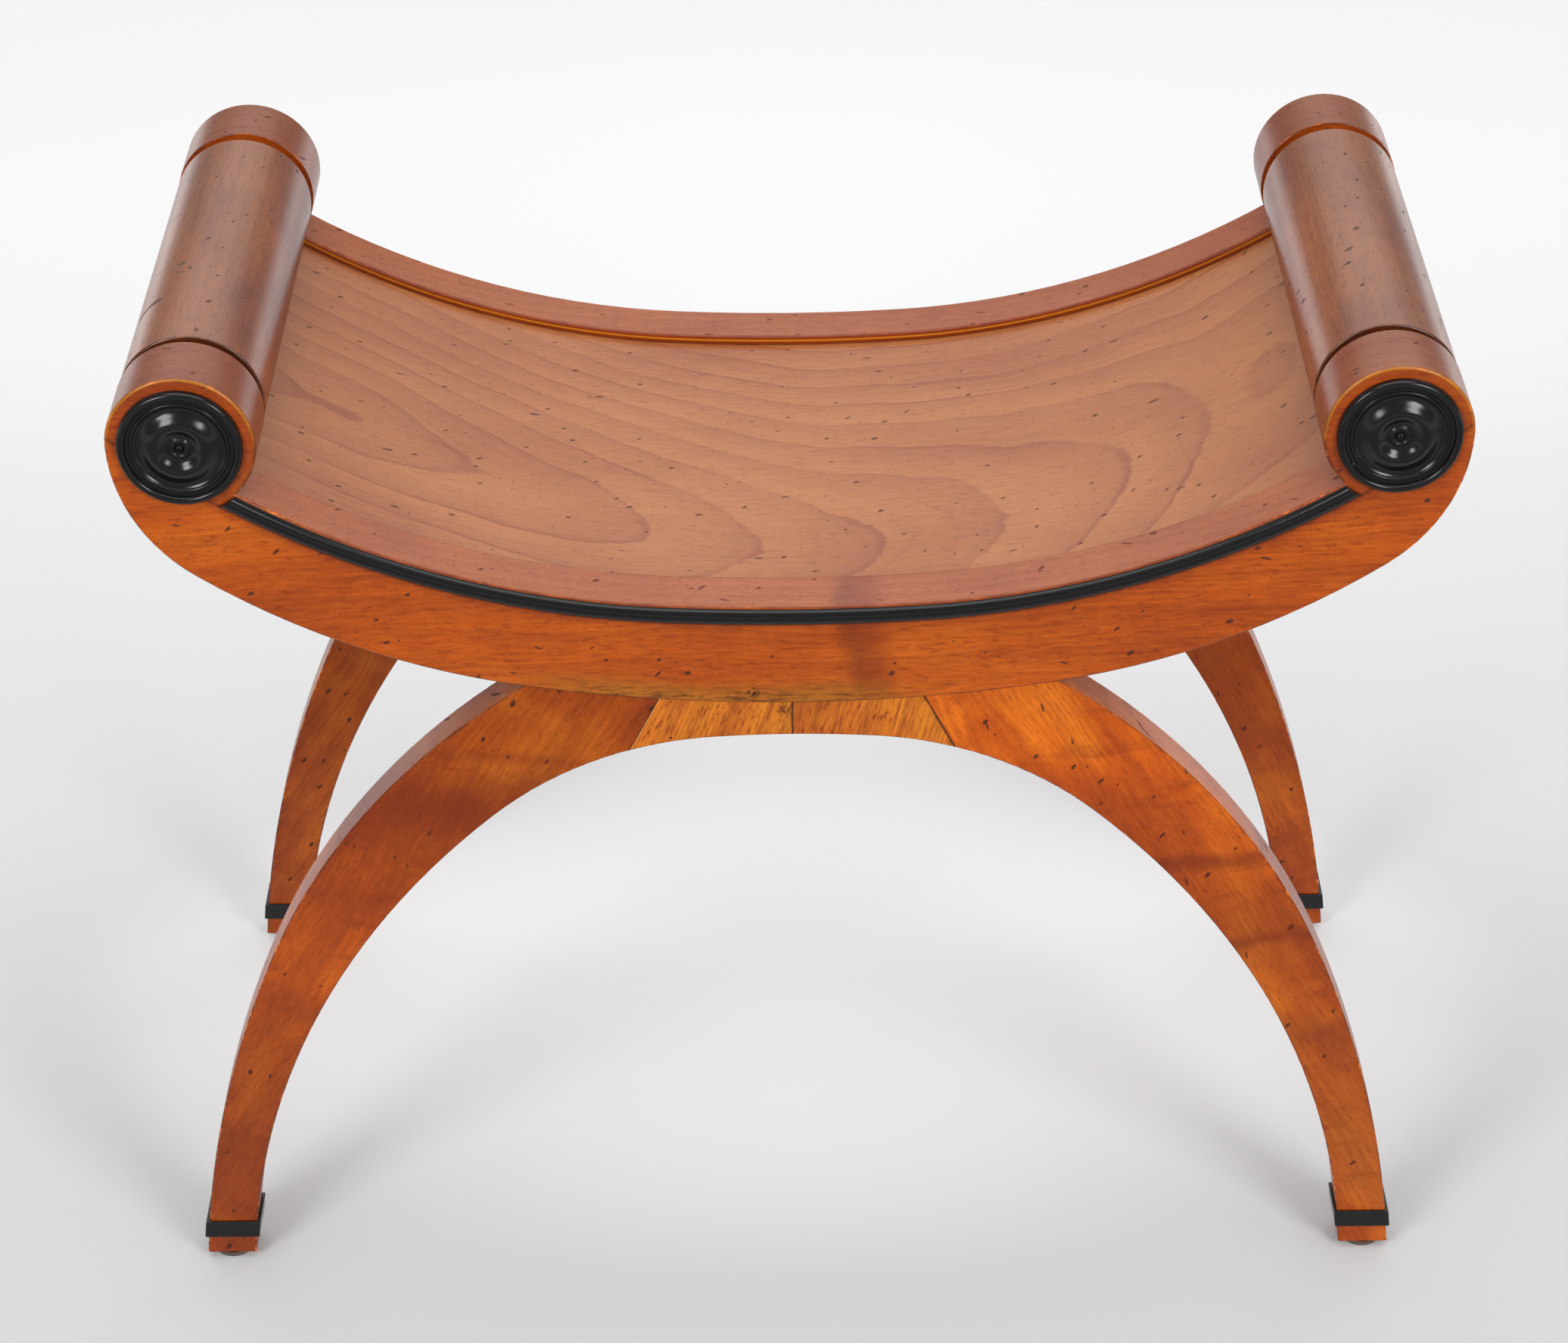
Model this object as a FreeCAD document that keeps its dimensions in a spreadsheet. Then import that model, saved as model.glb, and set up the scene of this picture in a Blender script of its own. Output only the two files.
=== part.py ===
import FreeCAD, Part
import math
import os

import Sketcher

# X frame stool, in millimetres. The origin is on the floor under the middle of the stool.
# X runs along the seat to the right, Y from the front to the back and Z up.
# The two frames are alike: the rear one is the front one turned half round the Z axis.

SIZES = {
    # The whole stool
    "overall_depth": 344.0,
    "roller_spacing": 623.0,
    "dip_height": 438.9,
    "roller_rise": 99.3,
    # Rails
    "rail_thickness": 42.0,
    "rail_depth": 59.2,
    "disc_radius": 38.7,
    "dip_radius": 1187.0,
    "dip_reach": 66.0,
    "hollow_angle": 47.3,
    "belly_radius": 862.0,
    "belly_reach": 139.0,
    "end_radius": 94.5,
    "rebate_width": 10.0,
    "arris_radius": 1.0,
    # Seat
    "seat_step": 5.0,
    "veneer_thickness": 1.0,
    "ground_thickness": 12.0,
    "batten_reach": 200.0,
    "batten_width": 40.0,
    "batten_thickness": 20.0,
    "tenon_width": 24.0,
    "tenon_thickness": 10.0,
    "tenon_length": 12.0,
    # Rollers
    "roller_radius": 38.2,
    "quirk_width": 6.5,
    "quirk_depth": 3.7,
    "roller_arris": 1.2,
    "spigot_radius": 11.0,
    "spigot_length": 28.0,
    # Arches: two legs and two blocks each
    "leg_thickness": 24.0,
    "leg_setback": 1.0,
    "crown_depth": 20.7,
    "crown_radius": 654.0,
    "crown_reach": 42.8,
    "haunch_radius": 202.4,
    "haunch_angle": 41.1,
    "scarf_top_reach": 70.6,
    "scarf_foot_reach": 87.5,
    "leg_top_reach": 142.0,
    "shin_radius": 700.0,
    "shin_lean": 5.2,
    "shin_height": 218.0,
    "foot_spread": 658.2,
    "foot_width": 28.2,
    "foot_chamfer": 2.0,
    # Collars and glides
    "collar_height": 11.0,
    "collar_lift": 17.0,
    "collar_proud": 1.8,
    "collar_rounding": 0.7,
    "glide_radius": 11.0,
    "glide_thickness": 3.0,
    "glide_rounding": 1.0,
    "nail_radius": 1.2,
    "nail_length": 14.0,
    # Bead and rosettes
    "bead_height": 9.0,
    "bead_proud": 3.5,
    "bead_drop": 1.2,
    "rosette_radius": 32.4,
    "rim_width": 4.4,
    "rim_height": 4.2,
    "valley_height": 1.8,
    "valley_width": 2.1,
    "reed_width": 1.8,
    "reed_height": 0.9,
    "dome_setback": 1.4,
    "dome_height": 5.0,
    "dish_width": 5.8,
    "eye_radius": 4.9,
    "eye_height": 2.2,
    "pin_radius": 1.25,
    "pin_length": 12.0,
    "pin_head_radius": 2.5,
    "pin_head_height": 1.8,
    # Dowels
    "leg_dowel_radius": 5.0,
    "leg_dowel_length": 44.0,
    "leg_dowel_reach": 102.0,
    "leg_dowel_pitch": 24.0,
    "block_dowel_radius": 4.0,
    "block_dowel_length": 30.0,
    "block_dowel_depth": 12.0,
    "block_dowel_reach": 42.0,
    "joint_dowel_radius": 3.0,
    "joint_dowel_length": 24.0,
    # Clearances
    "glue_line": 0.1,
    "dowel_clearance": 0.1,
    "end_clearance": 0.5,
    "seat_clearance": 0.3,
}

document = FreeCAD.newDocument("x_frame_stool")
sheet = document.addObject("Spreadsheet::Sheet", "sizes")
for row, (alias, number) in enumerate(SIZES.items(), start=1):
    sheet.set(f"A{row}", alias)
    sheet.set(f"B{row}", str(number))
    sheet.setAlias(f"B{row}", alias)
document.recompute()


def size(alias):
    return float(sheet.get(alias))


# Plane geometry of the front view. A point is a vector (x, z, 0), as in a front view sketch.

def point(x, z):
    return FreeCAD.Vector(x, z, 0)


def unit(angle):
    return point(math.cos(angle), math.sin(angle))


def mirrored(position):
    return point(-position.x, position.y)


def line(start, end):
    return Part.LineSegment(start, end)


def arc(centre, start, end):
    """The arc of under half a turn about centre from start to end."""
    chord_middle = (start + end) * 0.5
    towards = (chord_middle - centre).normalize()
    return Part.Arc(start, centre + towards * (start - centre).Length, end)


def polygon(corners):
    return [line(start, end) for start, end in zip(corners, corners[1:] + corners[:1])]


class Circle:
    """A circle that one stretch of an outline lies on."""

    def __init__(self, centre, radius):
        self.centre = centre
        self.radius = radius

    def grown(self, growth):
        return Circle(self.centre, self.radius + growth)

    def at(self, angle):
        return self.centre + unit(angle) * self.radius

    def towards(self, position):
        return self.centre + (position - self.centre).normalize() * self.radius

    def lowest_over(self, x):
        return point(x, self.centre.y - math.sqrt(self.radius**2 - (x - self.centre.x) ** 2))

    def highest_over(self, x):
        return point(x, self.centre.y + math.sqrt(self.radius**2 - (x - self.centre.x) ** 2))

    def rightmost_at(self, z):
        return point(self.centre.x + math.sqrt(self.radius**2 - (z - self.centre.y) ** 2), z)

    def left_crossing(self, other):
        """The one of the two points on both circles that lies further left."""
        between = other.centre - self.centre
        along = (self.radius**2 - other.radius**2 + between.dot(between)) / (2 * between.Length)
        across = math.sqrt(self.radius**2 - along**2)
        direction = between.normalize()
        foot = self.centre + direction * along
        sideways = point(-direction.y, direction.x) * across
        return min(foot + sideways, foot - sideways, key=lambda crossing: crossing.x)


def circle_from(start, inward, end):
    """The circle through start and end whose centre lies from start along inward."""
    chord = end - start
    radius = chord.dot(chord) / (2 * chord.dot(inward))
    return Circle(start + inward * radius, radius)


def inward_at(circle, position):
    return (circle.centre - position).normalize()


# Heights above the floor
roller_height = size("dip_height") + size("roller_rise")
belly_height = size("dip_height") - size("rail_depth")
arch_height = belly_height - size("crown_depth")
foot_height = size("glide_thickness")

# Right half of the frame's outline; the left half is its mirror image.
disc = Circle(point(size("roller_spacing") / 2, roller_height), size("disc_radius"))

# Top of the rail: a flat dip in the middle, then one arc up to the hollow beside the disc
dip = Circle(point(0, size("dip_height") + size("dip_radius")), size("dip_radius"))
dip_end = dip.lowest_over(size("dip_reach"))
hollow = disc.at(math.pi + math.radians(size("hollow_angle")))
sweep = circle_from(dip_end, inward_at(dip, dip_end), hollow)

# Underside: the belly, a flank, and the end arc that runs upright into the disc's outermost point
belly = Circle(point(0, belly_height + size("belly_radius")), size("belly_radius"))
belly_end = belly.lowest_over(size("belly_reach"))
disc_outermost = disc.at(0)
end_circle = Circle(disc_outermost - point(size("end_radius"), 0), size("end_radius"))
belly_inward = inward_at(belly, belly_end)
from_end = belly_end - end_circle.centre
flank_radius = (end_circle.radius**2 - from_end.dot(from_end)) / (
    2 * (from_end.dot(belly_inward) + end_circle.radius)
)
flank = Circle(belly_end + belly_inward * flank_radius, flank_radius)
flank_end = flank.towards(end_circle.centre)

# Inside of the arch: crown, haunch, and the long arc down to the foot
foot_inner = point((size("foot_spread") - size("foot_width")) / 2, foot_height)
foot_outer = point((size("foot_spread") + size("foot_width")) / 2, foot_height)
crown = Circle(point(0, arch_height - size("crown_radius")), size("crown_radius"))
crown_end = crown.highest_over(size("crown_reach"))
haunch = Circle(crown_end + inward_at(crown, crown_end) * size("haunch_radius"), size("haunch_radius"))
haunch_end = haunch.at(math.pi / 2 - math.radians(size("haunch_angle")))
calf = circle_from(haunch_end, inward_at(haunch, haunch_end), foot_inner)

# Outside of the leg: the shin up from the foot, then one arc in under the rail
shin_centre = foot_outer - unit(math.radians(size("shin_lean"))) * size("shin_radius")
shin = Circle(shin_centre, size("shin_radius"))
shin_end = shin.rightmost_at(size("shin_height"))


def belly_point(x, gap):
    """The point of the rail's underside over x, moved down from the wood by a gap."""
    circle = belly if x < belly_end.x else flank
    return circle.grown(gap).lowest_over(x)


def belly_line(left, right, gap):
    """The rail's underside between two points on it."""
    if left.x < belly_end.x < right.x:
        joint = belly.grown(gap).towards(belly_end)
        return [
            arc(belly.centre, left, joint),
            arc(flank.centre, joint, right),
        ]
    circle = belly if right.x <= belly_end.x else flank
    return [arc(circle.centre, left, right)]


def seat_line(drop, end_radius):
    """The rail's top line moved down by a drop, between circles about the rollers' axes."""
    side = sweep.grown(drop)
    joint = dip.grown(drop).towards(dip_end)
    end = side.left_crossing(Circle(disc.centre, end_radius))
    curve = [
        arc(point(-side.centre.x, side.centre.y), mirrored(end), mirrored(joint)),
        arc(dip.centre, mirrored(joint), joint),
        arc(side.centre, joint, end),
    ]
    return curve, end


leg_top = belly_point(size("leg_top_reach"), size("glue_line"))
thigh = circle_from(shin_end, inward_at(shin, shin_end), leg_top)
scarf_top = belly_point(size("scarf_top_reach"), size("glue_line"))
scarf_foot = haunch.highest_over(size("scarf_foot_reach"))
front_face = -size("overall_depth") / 2
leg_middle = size("overall_depth") / 2 - size("leg_setback") - size("leg_thickness") / 2


# Ways to build: each feature is bound to the sheet by the expression that it is given.

FRONT_VIEW = "XZ_Plane"
TOUCH = 0.01
TURNED_HALF = FreeCAD.Rotation(FreeCAD.Vector(0, 0, 1), 180)
UPRIGHT = FreeCAD.Rotation()
ALONG_Y = FreeCAD.Rotation(FreeCAD.Vector(0, 0, 1), FreeCAD.Vector(0, 1, 0))
ALONG_X = FreeCAD.Rotation(FreeCAD.Vector(0, 0, 1), FreeCAD.Vector(1, 0, 0))


def new_body(name):
    body = document.addObject("PartDesign::Body", name)
    body.Label = name
    return body


def place(body, x=0.0, y=0.0, z=0.0, rotation=UPRIGHT):
    body.Placement = FreeCAD.Placement(FreeCAD.Vector(x, y, z), rotation)
    return body


def sketch_on(body, name, role, geometry, lift=None):
    """A sketch on one of the body's own planes, lifted off it by an expression."""
    plane = next(item for item in body.Origin.OriginFeatures if item.Role == role)
    sketch = body.newObject("Sketcher::SketchObject", name)
    sketch.AttachmentSupport = [(plane, "")]
    sketch.MapMode = "FlatFace"
    sketch.addGeometry(geometry, False)
    sketch.addConstraint([Sketcher.Constraint("Block", index) for index in range(len(geometry))])
    if lift:
        sketch.setExpression("AttachmentOffset.Base.z", lift)
    return sketch


def extrude(body, kind, name, sketch, length, symmetric=True, backwards=False):
    """A Pad or a Pocket of a sketch."""
    feature = body.newObject(f"PartDesign::{kind}", name)
    feature.Profile = sketch
    feature.Type = "Length"
    feature.SideType = "Symmetric" if symmetric else "One side"
    feature.Reversed = backwards
    feature.setExpression("Length", length)
    return feature


def revolve(body, name, sketch, axis):
    feature = body.newObject("PartDesign::Revolution", name)
    feature.Profile = sketch
    feature.ReferenceAxis = (sketch, [axis])
    feature.Angle = 360
    return feature


def bore(body, name, start, rotation, radius, depth):
    """A round hole from start along the turned Z axis, by expressions for radius and depth."""
    hole = body.newObject("PartDesign::SubtractiveCylinder", name)
    hole.Placement = FreeCAD.Placement(start, rotation)
    hole.setExpression("Radius", radius)
    hole.setExpression("Height", depth)
    return hole


def edge_middle(edge):
    return edge.valueAt((edge.FirstParameter + edge.LastParameter) / 2)


def follows(edge, circles, faces):
    """Whether an edge lies in one of the faces, given by their Y, and follows one of the circles."""
    middle = edge_middle(edge)
    flat = point(middle.x, middle.z)
    on_face = any(abs(middle.y - face) < TOUCH for face in faces)
    on_circle = [abs((flat - circle.centre).Length - circle.radius) < TOUCH for circle in circles]
    return on_face and any(on_circle)


def fillet(body, name, radius, chosen):
    """Round those edges of the body so far that the test chooses."""
    document.recompute()
    base = body.Tip
    names = [f"Edge{index}" for index, edge in enumerate(base.Shape.Edges, start=1) if chosen(edge)]
    feature = body.newObject("PartDesign::Fillet", name)
    feature.Base = (base, names)
    feature.setExpression("Radius", radius)
    return feature


def round_arris(body, circles, faces):
    """Round the long edges of a board that follow the circles on its faces."""
    name = f"{body.Name}_arris"
    return fillet(body, name, "sizes.arris_radius", lambda edge: follows(edge, circles, faces))


def rod(name, radius, length, start, rotation):
    """A plain dowel that one group holds beside its like."""
    dowel = document.addObject("Part::Cylinder", name)
    dowel.setExpression("Radius", radius)
    dowel.setExpression("Height", length)
    dowel.Placement = FreeCAD.Placement(start, rotation)
    return dowel


def group(name, members):
    compound = document.addObject("Part::Compound", name)
    compound.Links = members
    compound.Label = name
    return compound


# Dowels. Both pieces of a joint get the same hole, which is a little wider and longer than its dowel.

class Dowel:
    """A dowel of the frame's right half, by its middle and direction in the front view."""

    def __init__(self, kind, tag, middle, direction):
        self.kind = kind
        self.tag = tag
        self.middle = middle
        self.direction = direction

    def mirrored(self):
        return Dowel(self.kind, self.tag, mirrored(self.middle), mirrored(self.direction))

    def rotation(self):
        return FreeCAD.Rotation(FreeCAD.Vector(0, 0, 1), self.direction_in_space())

    def direction_in_space(self):
        return FreeCAD.Vector(self.direction.x, 0, self.direction.y)

    def start(self, y, extra=0.0):
        half = size(f"{self.kind}_length") / 2 + extra
        middle = FreeCAD.Vector(self.middle.x, y, self.middle.y)
        return middle - self.direction_in_space() * half

    def bore_in(self, body, y, side="right"):
        bore(
            body,
            f"{body.Name}_{self.kind}_{self.tag}_{side}",
            self.start(y, size("end_clearance")),
            self.rotation(),
            f"sizes.{self.kind}_radius + sizes.dowel_clearance",
            f"sizes.{self.kind}_length + 2 * sizes.end_clearance",
        )

    def rod_at(self, tag, y):
        return rod(
            f"{self.kind}_{self.tag}_{tag}",
            f"sizes.{self.kind}_radius",
            f"sizes.{self.kind}_length",
            self.start(y),
            self.rotation(),
        )


def upright_dowel(kind, tag, reach, sunk):
    """A dowel across the joint under the rail, sunk into the piece below."""
    raised = point(0, size(f"{kind}_length") / 2 - sunk)
    return Dowel(kind, tag, belly_point(reach, 0) + raised, point(0, 1))


leg_dowels = [
    upright_dowel("leg_dowel", "inner", size("leg_dowel_reach"), size("leg_dowel_length") / 2),
    upright_dowel(
        "leg_dowel",
        "outer",
        size("leg_dowel_reach") + size("leg_dowel_pitch"),
        size("leg_dowel_length") / 2,
    ),
]
block_dowel = upright_dowel(
    "block_dowel", "only", size("block_dowel_reach"), size("block_dowel_depth")
)
scarf = scarf_top - scarf_foot
scarf_dowel = Dowel(
    "joint_dowel", "scarf", (scarf_top + scarf_foot) * 0.5, point(scarf.y, -scarf.x).normalize()
)
centre_dowel = Dowel(
    "joint_dowel", "centre", point(0, (belly_height + arch_height) / 2), point(1, 0)
)


# Seat lines and the battens under them

veneer_drop = size("seat_step") + size("veneer_thickness")
ground_top_drop = veneer_drop + size("glue_line")
ground_drop = ground_top_drop + size("ground_thickness")
ledge_drop = ground_drop + size("glue_line")
seat_end_radius = size("disc_radius") + size("seat_clearance")
batten_seat = sweep.grown(ledge_drop).lowest_over(size("batten_reach"))
batten_up = inward_at(sweep, batten_seat)
batten_middle = batten_seat - batten_up * (size("batten_thickness") / 2)


def rectangle(width, height, middle=point(0, 0), upwards=point(0, 1)):
    across = point(upwards.y, -upwards.x) * (width / 2)
    up = upwards * (height / 2)
    return polygon(
        [middle - across - up, middle + across - up, middle + across + up, middle - across + up]
    )


def seat_outline(top_drop, bottom_drop):
    """A layer of the seat in front view, hollowed at its ends round the rollers."""
    top, top_end = seat_line(top_drop, seat_end_radius)
    bottom, bottom_end = seat_line(bottom_drop, seat_end_radius)
    left_centre = mirrored(disc.centre)
    return (
        top
        + [arc(disc.centre, top_end, bottom_end)]
        + bottom
        + [arc(left_centre, mirrored(top_end), mirrored(bottom_end))]
    )


def rail_outline():
    disc_top = disc.at(math.pi / 2)
    right_end = [
        arc(disc.centre, hollow, disc_top),
        arc(disc.centre, disc_top, disc_outermost),
        arc(end_circle.centre, disc_outermost, flank_end),
        arc(flank.centre, flank_end, belly_end),
    ]
    left_end = [
        arc(mirrored(disc.centre), mirrored(hollow), mirrored(disc_top)),
        arc(mirrored(disc.centre), mirrored(disc_top), mirrored(disc_outermost)),
        arc(mirrored(end_circle.centre), mirrored(disc_outermost), mirrored(flank_end)),
        arc(mirrored(flank.centre), mirrored(flank_end), mirrored(belly_end)),
    ]
    top, _ = seat_line(0, size("disc_radius"))
    return top + right_end + left_end + [arc(belly.centre, mirrored(belly_end), belly_end)]


def rebate_outline():
    ledge, ledge_end = seat_line(ledge_drop, size("disc_radius"))
    disc_inner = disc.at(math.pi)
    return ledge + [
        arc(disc.centre, ledge_end, disc_inner),
        line(disc_inner, mirrored(disc_inner)),
        arc(mirrored(disc.centre), mirrored(disc_inner), mirrored(ledge_end)),
    ]


def make_rail(name, rotation):
    """The crescent rail, built as the front one. The sketches lie on its inner face."""
    body = new_body(name)
    inner_face = "sizes.overall_depth / 2 - sizes.rail_thickness"
    inner_y = front_face + size("rail_thickness")
    board = sketch_on(body, f"{name}_outline", FRONT_VIEW, rail_outline(), inner_face)
    extrude(body, "Pad", f"{name}_board", board, "sizes.rail_thickness", symmetric=False)
    ledge = sketch_on(body, f"{name}_ledge", FRONT_VIEW, rebate_outline(), inner_face)
    extrude(body, "Pocket", f"{name}_rebate", ledge, "sizes.rebate_width", False, True)
    mortise_width = size("tenon_width") + 2 * size("dowel_clearance")
    mortise_height = size("tenon_thickness") + 2 * size("dowel_clearance")
    mortise_depth = "sizes.tenon_length + sizes.end_clearance"
    for side, middle, upwards in (
        ("right", batten_middle, batten_up),
        ("left", mirrored(batten_middle), mirrored(batten_up)),
    ):
        corners = rectangle(mortise_width, mortise_height, middle, upwards)
        mortise = sketch_on(body, f"{name}_{side}_mortise_outline", FRONT_VIEW, corners, inner_face)
        extrude(body, "Pocket", f"{name}_{side}_mortise", mortise, mortise_depth, False, True)
    for side, x in (("right", disc.centre.x), ("left", -disc.centre.x)):
        bore(
            body,
            f"{name}_{side}_spigot_hole",
            FreeCAD.Vector(x, inner_y, disc.centre.y),
            ALONG_Y.multiply(FreeCAD.Rotation(FreeCAD.Vector(1, 0, 0), 180)),
            "sizes.spigot_radius + sizes.dowel_clearance",
            "sizes.spigot_length + sizes.end_clearance",
        )
        bore(
            body,
            f"{name}_{side}_pin_hole",
            FreeCAD.Vector(x, front_face, disc.centre.y),
            ALONG_Y,
            "sizes.pin_radius + sizes.dowel_clearance",
            "sizes.pin_length - sizes.eye_height + sizes.end_clearance",
        )
    for dowel in leg_dowels + [block_dowel]:
        dowel.bore_in(body, -leg_middle)
        dowel.mirrored().bore_in(body, -leg_middle, "left")
    return place(body, rotation=rotation)


def make_roller(name, x):
    """A roller turned about its own Y axis, with a quirk and a spigot at each end."""
    body = new_body(name)
    inner = size("overall_depth") / 2 - size("rail_thickness")
    quirk_end = inner - size("quirk_width")
    tip = inner + size("spigot_length")
    radius = size("roller_radius")
    neck = radius - size("quirk_depth")
    arris = size("roller_arris")

    def half(sign):
        """The profile from the axis at the tip to the end of the rounded arris."""
        corners = [
            (0, tip),
            (size("spigot_radius"), tip),
            (size("spigot_radius"), inner),
            (neck, inner),
            (neck, quirk_end),
            (radius - arris, quirk_end),
        ]
        corners = [point(r, sign * along) for r, along in corners]
        rounding_centre = point(radius - arris, sign * (quirk_end - arris))
        body_edge = point(radius, sign * (quirk_end - arris))
        lines = [line(start, end) for start, end in zip(corners, corners[1:])]
        return lines + [arc(rounding_centre, corners[-1], body_edge)], corners[0], body_edge

    upper, upper_tip, upper_edge = half(1)
    lower, lower_tip, lower_edge = half(-1)
    profile = upper + lower + [line(upper_edge, lower_edge), line(upper_tip, lower_tip)]
    sketch = sketch_on(body, f"{name}_profile", "XY_Plane", profile)
    revolve(body, f"{name}_turning", sketch, "V_Axis")
    return place(body, x=x, z=roller_height)


def make_seat_layer(name, top_drop, bottom_drop):
    body = new_body(name)
    sketch = sketch_on(body, f"{name}_outline", FRONT_VIEW, seat_outline(top_drop, bottom_drop))
    width = "sizes.overall_depth - 2 * (sizes.rail_thickness - sizes.rebate_width + sizes.seat_clearance)"
    extrude(body, "Pad", f"{name}_board", sketch, width)
    return body


def make_batten(name, middle, upwards):
    """A cross batten under the seat, with a stub tenon in each rail."""
    body = new_body(name)
    shoulders = "sizes.overall_depth - 2 * sizes.rail_thickness"
    bar = rectangle(size("batten_width"), size("batten_thickness"))
    sketch = sketch_on(body, f"{name}_section", FRONT_VIEW, bar)
    extrude(body, "Pad", f"{name}_bar", sketch, shoulders)
    tenon = rectangle(size("tenon_width"), size("tenon_thickness"))
    sketch = sketch_on(body, f"{name}_tenon_section", FRONT_VIEW, tenon)
    extrude(body, "Pad", f"{name}_tenons", sketch, f"{shoulders} + 2 * sizes.tenon_length")
    rotation = FreeCAD.Rotation(FreeCAD.Vector(0, 0, 1), FreeCAD.Vector(upwards.x, 0, upwards.y))
    return place(body, x=middle.x, z=middle.y, rotation=rotation)


def foot_corner(edge, outward):
    """The triangle that chamfers the foot's sole at one of its edges."""
    chamfer = size("foot_chamfer")
    inside = point(edge - 2 * outward * chamfer, foot_height - chamfer)
    outside = point(edge + outward * chamfer, foot_height - chamfer)
    above = point(edge + outward * chamfer, foot_height + 2 * chamfer)
    return polygon([inside, outside, above])


def make_leg(name, y, rotation):
    """A leg, built as a right one about its own middle plane."""
    body = new_body(name)
    outline = belly_line(scarf_top, leg_top, size("glue_line")) + [
        arc(thigh.centre, leg_top, shin_end),
        arc(shin.centre, shin_end, foot_outer),
        line(foot_outer, foot_inner),
        arc(calf.centre, foot_inner, haunch_end),
        arc(haunch.centre, haunch_end, scarf_foot),
        line(scarf_foot, scarf_top),
    ]
    sketch = sketch_on(body, f"{name}_outline", FRONT_VIEW, outline)
    extrude(body, "Pad", f"{name}_board", sketch, "sizes.leg_thickness")
    half = size("leg_thickness") / 2
    round_arris(body, [thigh, shin, calf, haunch], [half, -half])
    sides = foot_corner(foot_outer.x, 1) + foot_corner(foot_inner.x, -1)
    faces = foot_corner(half, 1) + foot_corner(-half, -1)
    side_sketch = sketch_on(body, f"{name}_foot_sides", FRONT_VIEW, sides)
    extrude(body, "Pocket", f"{name}_side_chamfers", side_sketch, "2 * sizes.leg_thickness")
    face_sketch = sketch_on(body, f"{name}_foot_faces", "YZ_Plane", faces)
    extrude(body, "Pocket", f"{name}_face_chamfers", face_sketch, "2 * sizes.foot_spread")
    for dowel in leg_dowels + [scarf_dowel]:
        dowel.bore_in(body, 0)
    bore(
        body,
        f"{name}_nail_hole",
        FreeCAD.Vector(size("foot_spread") / 2, 0, foot_height),
        UPRIGHT,
        "sizes.nail_radius + sizes.dowel_clearance",
        "sizes.nail_length + sizes.end_clearance",
    )
    return place(body, y=y, rotation=rotation)


def make_block(name, y, rotation):
    """A wedge block between the rail and the arch, from the middle joint to the scarf."""
    body = new_body(name)
    top_middle = belly_point(0, size("glue_line"))
    arch_middle = crown.highest_over(0)
    outline = belly_line(top_middle, scarf_top, size("glue_line")) + [
        line(scarf_top, scarf_foot),
        arc(haunch.centre, scarf_foot, crown_end),
        arc(crown.centre, crown_end, arch_middle),
        line(arch_middle, top_middle),
    ]
    sketch = sketch_on(body, f"{name}_outline", FRONT_VIEW, outline)
    extrude(body, "Pad", f"{name}_board", sketch, "sizes.leg_thickness")
    half = size("leg_thickness") / 2
    round_arris(body, [crown, haunch], [half, -half])
    for dowel in (block_dowel, scarf_dowel, centre_dowel):
        dowel.bore_in(body, 0)
    return place(body, y=y, rotation=rotation)


def ankle_outline(low, high, growth):
    """The leg's outline between two heights, grown to both sides."""
    outer = shin.grown(growth)
    inner = calf.grown(-growth)
    outer_low, outer_high = outer.rightmost_at(low), outer.rightmost_at(high)
    inner_low, inner_high = inner.rightmost_at(low), inner.rightmost_at(high)
    return [
        line(inner_low, outer_low),
        arc(outer.centre, outer_low, outer_high),
        line(outer_high, inner_high),
        arc(inner.centre, inner_high, inner_low),
    ]


def make_collar(name, y, rotation):
    """A collar round the ankle, following the leg's own curves."""
    body = new_body(name)
    low = size("collar_lift")
    high = low + size("collar_height")
    ring = sketch_on(
        body, f"{name}_outline", FRONT_VIEW, ankle_outline(low, high, size("collar_proud"))
    )
    extrude(body, "Pad", f"{name}_block", ring, "sizes.leg_thickness + 2 * sizes.collar_proud")
    fillet(body, f"{name}_rounding", "sizes.collar_rounding", lambda edge: True)
    overrun = size("collar_height") / 2
    ankle = sketch_on(
        body,
        f"{name}_ankle_outline",
        FRONT_VIEW,
        ankle_outline(low - overrun, high + overrun, size("glue_line")),
    )
    extrude(body, "Pocket", f"{name}_ankle", ankle, "sizes.leg_thickness + 2 * sizes.glue_line")
    return place(body, y=y, rotation=rotation)


def make_glide(name, x, y):
    """A round glide and its nail, turned in one piece, with its flat sole on the floor."""
    body = new_body(name)
    radius = size("glide_radius")
    rounding = size("glide_rounding")
    thickness = size("glide_thickness")
    nail = size("nail_radius")
    nail_end = thickness + size("nail_length")
    sole_edge = point(radius - rounding, 0)
    side_edge = point(radius, rounding)
    corners = [
        side_edge,
        point(radius, thickness),
        point(nail, thickness),
        point(nail, nail_end - nail),
        point(0, nail_end),
        point(0, 0),
        sole_edge,
    ]
    profile = [line(start, end) for start, end in zip(corners, corners[1:])]
    profile.append(arc(point(radius - rounding, rounding), sole_edge, side_edge))
    sketch = sketch_on(body, f"{name}_profile", FRONT_VIEW, profile)
    revolve(body, f"{name}_turning", sketch, "V_Axis")
    return place(body, x=x, y=y)


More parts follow.
